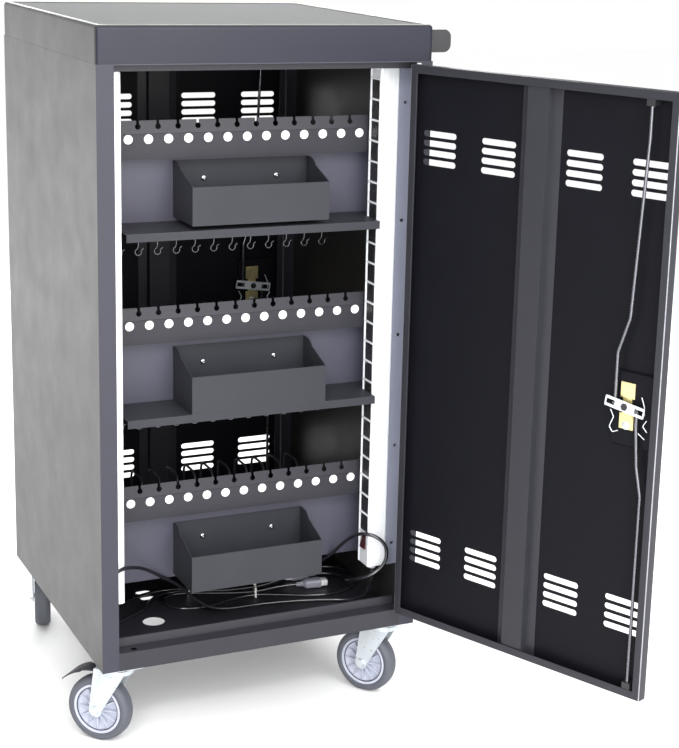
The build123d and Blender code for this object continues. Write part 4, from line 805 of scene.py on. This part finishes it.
def turned(profile, steps, closed=False):
    def build(form):
        rings = []
        for k in range(steps):
            a = 2 * pi * k / steps
            rings.append([form.verts.new(mm(r * cos(a), r * sin(a), h)) for r, h in profile])
        pairs = list(zip(range(len(profile)), range(1, len(profile))))
        if closed:
            pairs.append((len(profile) - 1, 0))
        for k in range(steps):
            here, there = rings[k], rings[(k + 1) % steps]
            for i, j in pairs:
                if profile[i][0] < 0.001 and profile[j][0] < 0.001:
                    continue
                form.faces.new((here[i], there[i], there[j], here[j]))
        bmesh.ops.remove_doubles(form, verts=form.verts, dist=0.000001)
        bmesh.ops.dissolve_degenerate(form, edges=form.edges, dist=0.0000001)

    return build


# Turning a shape that grows along Z so that it grows towards the reader, along -Y.
FORWARD = spin(pi / 2, "X")
print("lathe turns to", [round(v) for v in FORWARD @ Vector((0, 0, 1))])

# %% [markdown]
# Every slot has a white disc with its number. One disc is turned with a tiny round at
# its edge, and the row tree sets out all 39. The plain numerals are text made a mesh.

# %% Number discs
DISC = [(0, 0.8), (7.6, 0.8), (8.1, 0.6), (8.25, 0.2), (8.25, 0), (0, 0)]
DISC_X = FIRST_SLOT + 18.6
DISC_RISE = 154
DISC_BACK = 130
INK_FRONT = 129.15
grown("slot_discs", row_tree, mesh_from(turned(DISC, 36), FORWARD),
      moved_to(DISC_X, DISC_BACK, TIER_TOPS[0] + DISC_RISE), PER_TIER, disc_white,
      "cabinet", "number_discs", crease=50)


def numerals(form):
    for index in range(SLOTS * 3):
        tier, column = 2 - index // SLOTS, index % SLOTS
        words = bpy.data.curves.new("numeral", "FONT")
        words.body = str(index + 1)
        words.size = 0.0085
        words.align_x = "CENTER"
        words.align_y = "CENTER"
        words.extrude = 0.00006
        words.resolution_u = 2
        mesh = settled(add("numeral", words))
        spot = moved_to(DISC_X + SLOT_STEP * column, INK_FRONT, TIER_TOPS[tier] + DISC_RISE)
        mesh.transform(spot @ FORWARD)
        form.from_mesh(mesh)
        bpy.data.meshes.remove(mesh)


piece("slot_numbers", mesh_from(numerals, merge=0), ink, "cabinet")

# %% [markdown]
# Each tray is held by two zinc pan head screws with a round drive recess. A turned
# profile has the domed head and the recess in one, and the row tree sets out all six.

# %% Tray screws
SCREW = [(0, 1.2), (1.5, 1.2), (1.9, 2.9), (3.4, 2.8), (4.7, 2.0), (5.4, 0.9), (5.5, 0), (0, 0)]
FIRST_SCREW = (246, 163.5, 173)
SCREW_GAP = 141
TRAY_STEP = 344
grown("tray_screw_heads", row_tree, mesh_from(turned(SCREW, 20), FORWARD), moved_to(*FIRST_SCREW),
      {"Count": 2, "Step": mm(SCREW_GAP, 0, 0), "Rows": 3, "Row step": mm(0, 0, TRAY_STEP)},
      screw_zinc, "cabinet", "tray_screws", crease=40)

# %% [markdown]
# A power strip is an extrusion with 23 outlets in a channel. Each outlet is a black
# insert with a raised face, cut through by two flat slots and a round one. The face is
# filled between these outlines, so the slots are real holes with the insert behind.

# %% Outlets
OUTLETS = 23
OUTLET_STEP = 38.26
FIRST_OUTLET = 200 - OUTLET_STEP / 2
STRIP_Y = 100
# For each strip: the X of its channel, and which way along X its outlets look.
STRIPS = {"left": (64, -1), "right": (556, 1)}
FACE_HALF = (13, 12.5)


def ring_points(cx, cy, rx, ry, count, power=1.0):
    """Points round an ellipse, or round a squarer shape where the power is below 1."""
    angles = [2 * pi * (k + 0.5) / count for k in range(count)]
    return [(cx + rx * copysign(abs(cos(a)) ** power, cos(a)),
             cy + ry * copysign(abs(sin(a)) ** power, sin(a))) for a in angles]


def outlet(form):
    block_in(form, mm(0.6, -16.5, -17.25), mm(9, 16.5, 17.25))
    loops = [ring_points(0, 0, *FACE_HALF, 24, 0.4)]
    loops += [ring_points(-1, y, 4, 1.1, 4, 0.2) for y in (-6.3, 6.3)]
    loops += [ring_points(7, 0, 2.6, 2.6, 10)]
    flat = [Vector((x, y, 0)) for loop in loops for x, y in loop]
    fronts, backs = ([form.verts.new(mm(depth, p.y, p.x)) for p in flat] for depth in (-0.9, 0.6))
    from_loops = [[Vector((x, y, 0)) for x, y in loop] for loop in loops]
    for triangle in tessellate_polygon(from_loops):
        form.faces.new([fronts[i] for i in triangle])
        form.faces.new([backs[i] for i in reversed(triangle)])
    start = 0
    for loop in loops:
        for i in range(len(loop)):
            a, b = start + i, start + (i + 1) % len(loop)
            form.faces.new((fronts[a], fronts[b], backs[b], backs[a]))
        start += len(loop)


def column(side, kind, item, count, z, finish, *stands_for):
    """One item repeated up a power strip, and turned to look the strip's way."""
    x, looks = STRIPS[side]
    place = moved_to(x, STRIP_Y, z) @ spin(0 if looks > 0 else pi)
    sizes = {"Count": count, "Step": mm(0, 0, OUTLET_STEP), "Rows": 1}
    grown(f"{side}_{kind}", row_tree, item, place, sizes, finish, "cabinet", *stands_for)


outlet_mesh = mesh_from(outlet, merge=0.000001)
column("left", "outlets", outlet_mesh, OUTLETS, FIRST_OUTLET, black_plastic, "power_strip_sockets")
column("right", "outlets", outlet_mesh, OUTLETS, FIRST_OUTLET, black_plastic)

# %% [markdown]
# The extrusion's front face has four fine raised lines, and its channel edges stand out
# as thin bright lips beside the outlets. Ribs of the same metal part the outlets.

# %% Power strip trim
STRIP_FOOT = 96.5
STRIP_HEAD = 1061.5
LIPS = ((78.2, 81.4), (118.6, 121.8))
LIP_PROUD = 1.2
LINES = ((5, 1.1), (13, 0.8), (25, 0.8), (33, 1.1))
LINE_FRONT, LINE_BACK = 77.6, 78.3


def strip_trim(form, x0, looks):
    bars = [(x0, x0 - looks * LIP_PROUD, y0, y1) for y0, y1 in LIPS]
    for offset, wide in LINES:
        bars.append((x0 + looks * offset, x0 + looks * (offset + wide), LINE_FRONT, LINE_BACK))
    for xa, xb, y0, y1 in bars:
        block_in(form, at(min(xa, xb), y0, STRIP_FOOT), at(max(xa, xb), y1, STRIP_HEAD))


def outlet_rib(form):
    block_in(form, mm(-1.4, -18.5, -1.5), mm(2, 18.5, 1.5))


for side, (x0, looks) in STRIPS.items():
    trim = mesh_from(lambda form: strip_trim(form, x0, looks))
    piece(side + "_strip_lips", trim, white_rail, "cabinet")
    column(side, "strip_ribs", mesh_from(outlet_rib), OUTLETS + 1,
           FIRST_OUTLET - OUTLET_STEP / 2, white_rail)

# %% [markdown]
# What repeats round an axis gets its own tree. It puts every copy on one point and
# turns each a step further, as the ribs of a moulded wheel are spaced.

# %% Polar tree
polar_tree, sizes = new_tree("polar row", {"Count": "Int", "Turn": "Vector", "Finish": "Material"})
centre = step(polar_tree, "Points", {"Count": sizes["Count"]})
index = step(polar_tree, "InputIndex", {})
turn = make(polar_tree, "ShaderNodeVectorMath", {"Vector": sizes["Turn"], "Scale": index},
            operation="SCALE")["Vector"]
spread = step(polar_tree, "InstanceOnPoints",
              {"Points": centre, "Instance": sizes["Item"], "Rotation": turn})
end_tree(polar_tree, spread, sizes["Finish"])
print("polar tree", len(polar_tree.nodes), "nodes")

# %% [markdown]
# A caster wheel is a grey tyre moulded round a pale nylon centre. The tyre has a crowned
# tread with a fine mould line, and rounded shoulders. The centre is one turned profile
# with a raised rim, a dished web and a boss, and twelve thin ribs stand on each side.

# %% Caster wheels
TYRE_SIDE = [
    (48, 14.5), (49.5, 15.5), (53.5, 16), (57.2, 15.2), (60, 12.6), (61.6, 9), (61.9, 7.5),
    (62.2, 7.2), (62.1, 6.8), (62.4, 3.5),
]
TYRE_PROFILE = TYRE_SIDE + [(62.5, 0)] + [(r, -h) for r, h in reversed(TYRE_SIDE)]
HUB_SIDE = [
    (5.2, 16), (11.4, 16), (12.4, 15.2), (13, 8.5), (15, 6.4), (22, 5.6), (31, 6), (38, 7.6),
    (40.4, 9.2), (41, 12.6), (42.8, 12.6), (43.2, 14.4), (43.8, 14.9), (47.2, 14.9), (47.9, 14.2),
]
HUB_PROFILE = HUB_SIDE + [(r, -h) for r, h in reversed(HUB_SIDE)]
SHADE_PROFILE = [(40.9, 12.4), (42.9, 12.4), (42.9, 13.1), (40.9, 13.1)]
RIB_COUNT = 12
RIB = [(12.5, 15), (12.5, 5.4), (40.8, 7.4), (40.8, 11.6), (38.5, 12)]
RIB_HALF = 0.8
# Where each caster's swivel stands, and its heading in degrees.
CASTERS = {
    "front_left": (42, 42, 133.5),
    "front_right": (578, 42, 125),
    "rear_left": (42, 586, 75),
    "rear_right": (578, 586, 240),
}
WHEEL_OFFSET = mm(38, 0, -95.5)
# The dark seams round the swivel's ball race, as the height of each one's top.
RACE_RADIUS = 29.5
RACE_TOPS = (-3.6, -7.4)
RACE_SECTION = rectangle(-1, 0, 0, -1.1)


def rib(form):
    bridge(form, [[mm(r, half, h) for r, h in RIB] for half in (-RIB_HALF, RIB_HALF)])


for corner_name, (x, y, heading) in CASTERS.items():
    swivel = moved_to(x, y, 0)
    wheel = swivel @ spin(radians(heading)) @ Matrix.Translation(WHEEL_OFFSET) @ spin(pi / 2, "X")
    body = corner_name + "_wheel"
    tyre = mesh_from(turned(TYRE_PROFILE, 72, True), wheel)
    piece(body + "_tyre", tyre, tyre_rubber, body, corner_name + "_tyre")
    hub = mesh_from(turned(HUB_PROFILE, 60, True), wheel)
    piece(body + "_centre", hub, hub_nylon, body, corner_name + "_hub")
    for side, flip in (("near", 0), ("far", pi)):
        face = wheel @ spin(flip, "X")
        piece(f"{body}_{side}_ring", mesh_from(turned(SHADE_PROFILE, 60, True), face), hub_shade, body)
        grown(f"{body}_{side}_ribs", polar_tree, mesh_from(rib), face,
              {"Count": RIB_COUNT, "Turn": (0, 0, 2 * pi / RIB_COUNT)}, hub_nylon, body)
    for i, top in enumerate(RACE_TOPS):
        section = [(RACE_RADIUS + r, top + z) for r, z in RACE_SECTION]
        race = mesh_from(turned(section, 48, True), swivel)
        piece(f"{corner_name}_race_{i + 1}", race, hub_shade, "cabinet")

# %% [markdown]
# The lock's plate is yellow chromate and the bar across it is bright zinc, but both are
# one CAD part. Their copies are split by how far they stand off the door's face. A domed
# nut and four bent wires sit beside them. One wire is the lock's own and turns with it.

# %% Locks
LOCK_X = 101
LOCK_Z = 550
PLATE_BACK = 5
PLATE_FRONT = 10.2
BAR_DEPTHS = (15, 25)
NUT_DROP = 33.5
NUT_PROFILE = [
    (0, 7.2), (2.6, 6.8), (4.6, 5.4), (5.6, 3.6), (5.9, 2.2), (7.2, 2.0), (7.4, 1.6),
    (7.4, 0), (0, 0),
]
SPRINGS = [
    [(132, 539), (125, 527), (132.5, 509), (126, 500), (115, 505)],
    [(72, 571), (66, 556), (65, 541)],
    [(60, 533), (67, 522), (58, 513)],
    [(75, 508), (62, 500)],
]
SPRING_DEPTH = 12


def layer_of(source, place, low, high, width):
    """The islands of a CAD part that lie between two depths behind the closed door's face."""
    closed = place.inverted()

    def elsewhere(spot):
        return not low < ((closed @ spot).y - at(0, 0, 0).y) * 1000 < high

    return mesh_from(lambda form: softened(form, source, width, elsewhere))


for door, place in DOOR_PLACES.items():
    source = nodes[door + "_lock_cams"].data
    lock = door + "_lock"
    bar = layer_of(source, place, *BAR_DEPTHS, 0.4)
    piece(lock + "_bar", bar, zinc, lock, door + "_lock_cams", crease=20)
    plate = layer_of(source, place, PLATE_BACK, PLATE_FRONT, 0.3)
    piece(lock + "_plate", plate, yellow_zinc, lock, crease=20)
    nut_place = place @ moved_to(LOCK_X, PLATE_FRONT - 0.3, LOCK_Z - NUT_DROP) @ spin(-pi / 2, "X")
    piece(lock + "_nut", mesh_from(turned(NUT_PROFILE, 24), nut_place), zinc, lock)
    for i, spots in enumerate(SPRINGS):
        wire_path = path_mesh([(x, SPRING_DEPTH, z) for x, z in spots])
        grown(f"{door}_lock_spring_{i + 1}", wire_tree, wire_path, place @ moved_to(0, 0, 0),
              {"Radius": 0.0009, "Bend": 0.003, "Count": 1, "Rows": 1}, zinc,
              lock if i == 0 else door + "_door")

# %% [markdown]
# A cord's jacket is held where it leaves the strip by a ribbed rubber relief that gets
# thinner downwards. The plug at its far end has a shorter one, a body pinched for the
# fingers, and a pale cap over its pins. The reliefs on the strips are turned, and a plug
# is lofted through rounded sections, because it is flatter than it is wide.

# %% Reliefs and plugs
RELIEF_TOP = 86.5
RELIEF_RIBS = 6
RELIEF_STEP = 4
relief = [(3.4, 0), (7.4, 0), (7.4, -3)]
for i in range(RELIEF_RIBS):
    wide = 6.6 - 0.4 * i
    high = -3.5 - RELIEF_STEP * i
    relief += [(wide - 1.1, high), (wide - 1.1, high - 1.2), (wide, high - 1.6), (wide, high - 3.4)]
relief += [(4.1, -28.5), (3.4, -29)]
for side, route in (("left", LEFT_ROUTE), ("right", RIGHT_ROUTE)):
    gland = moved_to(route[0][0], route[0][1], RELIEF_TOP)
    piece(side + "_cord_relief", mesh_from(turned(relief, 28, True), gland), black_plastic, "cabinet")

# Each section is its distance along the plug, its two half widths, and how square it is.
PLUG_SECTIONS = [
    (0, 4.2, 4.2, 2), (2, 4.9, 4.9, 2), (3.4, 4.2, 4.2, 2), (5.6, 5.2, 5.2, 2), (7, 4.5, 4.5, 2),
    (9.4, 5.6, 5.6, 2), (10.8, 4.9, 4.9, 2), (13.4, 6.2, 6, 2.2), (15.4, 8.4, 7, 2.6),
    (17.5, 11.4, 8.6, 3), (21, 12.8, 9, 3.6), (28, 12, 8.8, 4), (37, 11.6, 8.6, 4),
    (44, 12.6, 8.9, 4), (48.8, 12.9, 9, 4.4), (50, 12.3, 8.4, 4.4),
]
CAP_SECTIONS = [(50, 10, 6.5, 4.5), (62.6, 9.7, 6.3, 4.5), (64, 9, 5.6, 4.5)]


def lofted(sections, place):
    return mesh_from(lambda form: bridge(form, [
        [mm(along, p, q) for p, q in ring_points(0, 0, wide, tall, 28, 2 / power)]
        for along, wide, tall, power in sections
    ]), place)


cord_ends = {}
for side, route in (("left", LEFT_ROUTE), ("right", RIGHT_ROUTE)):
    (x0, y0, _), (x1, y1, _) = route[-2:]
    place = moved_to(*route[-1]) @ spin(atan2(y1 - y0, x1 - x0))
    stands_for = ["supply_plugs"] if side == "left" else []
    plug = piece(side + "_plug", lofted(PLUG_SECTIONS, place), plug_grey, "cabinet",
                 *stands_for, crease=30)
    cap = piece(side + "_plug_cap", lofted(CAP_SECTIONS, place), plug_cap, "cabinet", crease=30)
    cord_ends[side] = [plug, cap]

# %% [markdown]
# Each tie is a flat paper-covered wire, twisted once over the cords, whose two ends
# stand up in a V. An end is a thin strip through four outlines, narrow at its root and
# at its tip, so it reads as a cut wire and not as a bar.

# %% Tie ends
TIE_TOPS = [((267, 296.5, 11), 24), ((387.7, 248.4, 21.5), -12)]
TAIL = ((0, 1.1), (3, 1.9), (17, 1.9), (18, 1.2))
TAIL_HALF = 0.45
TAIL_SHIFT = 0.7
TAIL_SPREAD = 34


def tie_ends(form):
    """A V of two thin tapered strips on each tie, leaning a little as it was bent."""
    for (x, y, z), lean in TIE_TOPS:
        for side in (-1, 1):
            tilt = radians(side * TAIL_SPREAD + lean)
            along = Vector((sin(tilt), 0, cos(tilt)))
            across = Vector((cos(tilt), 0, -sin(tilt)))
            outlines = []
            for reach, half in TAIL:
                middle = Vector((x, y + side * TAIL_SHIFT, z)) + along * reach
                outlines.append([at(*(middle + across * (half * p) + Vector((0, q * TAIL_HALF, 0))))
                                 for p, q in rectangle(-1, -1, 1, 1)])
            bridge(form, outlines)


cord_ends["left"].append(piece("tie_ends", mesh_from(tie_ends), tie_white, "cabinet", crease=30))

# %% [markdown]
# A cord is a fixed length of something flexible. Both cords are the curves made above.

print("declared", left_cord.name, right_cord.name)

# %% [markdown]
# Under the cap's skirt runs a narrow dark joint, all the way round the cabinet. A thin
# recessed band shows it better than a painted line, because it stays dark from any side.

# %% Cap joint
JOINT_HEIGHT = 0.0016
JOINT_INSET = 0.0004
JOINT_DEPTH = 0.0018
(cap_x0, cap_y0, joint_top), (cap_x1, cap_y1, _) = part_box("top_cap")


def joint(form):
    outlines = []
    for inset, z in rectangle(JOINT_INSET, joint_top - JOINT_HEIGHT, JOINT_DEPTH, joint_top):
        ring = rectangle(cap_x0 + inset, cap_y0 + inset, cap_x1 - inset, cap_y1 - inset)
        outlines.append([(x, y, z) for x, y in ring])
    bridge(form, outlines, closed=True)


piece("cap_joint", mesh_from(joint), hub_shade, "cabinet")

# %% [markdown]
# The studio is a pale floor in a white surround. The camera sees the surround white,
# and the object is lit by less of it, so that black paint stays black.

# %% Surround and floor
bpy.context.scene.view_settings.view_transform = "Standard"
world = bpy.data.worlds.new("studio")
bpy.context.scene.world = world
world.use_nodes = True
surround = world.node_tree
OBJECT_LIGHT = 0.32
seen = make(surround, "ShaderNodeLightPath", {})["Is Camera Ray"]
level = make(surround, "ShaderNodeMapRange",
             {"Value": seen, "To Min": OBJECT_LIGHT, "To Max": 1.0})["Result"]
feed(surround, surround.nodes["Background"], {"Color": (1, 1, 1, 1), "Strength": level})

FLOOR_REACH = 14
floor_edge = rectangle(-FLOOR_REACH, -FLOOR_REACH, FLOOR_REACH, FLOOR_REACH)
floor_mesh = bpy.data.meshes.new("floor")
floor_mesh.from_pydata([(x, y, 0) for x, y in floor_edge], [], [(0, 1, 2, 3)])
floor_mesh.materials.append(finish_of("pale floor", (0.86, 0.86, 0.86), 0.8, mottle=0.01, cloud=0.8))
floor = add("floor", floor_mesh)
print("floor", 2 * FLOOR_REACH, "m wide")

# %% [markdown]
# A soft light behind on the left glances along the side wall. One in front on the right
# lights the inside and leaves the open door dark, as in the photograph, and a small one
# sets sparkles on the plated parts. A wide sun straight overhead keeps the floor as pale
# far away as it is near the casters.

# %% Lights


def soft_light(name, place, aim, size, power):
    light = bpy.data.lights.new(name, "AREA")
    light.size = size
    light.energy = power
    lamp = add(name, light)
    lamp.location = at(*place)
    lamp.rotation_euler = (at(*aim) - at(*place)).to_track_quat("-Z", "Y").to_euler()
    lamp.visible_camera = False


soft_light("back left", (-1500, 2900, 900), (0, 300, 450), 2.6, 26)
soft_light("behind", (1500, 3600, 1700), (300, 300, 900), 2.4, 110)
soft_light("front", (-700, -3800, 1900), (300, 0, 600), 4.8, 320)
soft_light("front right", (1500, -3000, 2300), (300, 0, 500), 3.0, 110)
soft_light("sparkle", (-1500, -2600, 2600), (300, 0, 400), 0.35, 26)

sky = bpy.data.lights.new("sky", "SUN")
sky.energy = 2.7
sky.angle = radians(75)
add("sky", sky)
print("lights", len(bpy.data.lights))
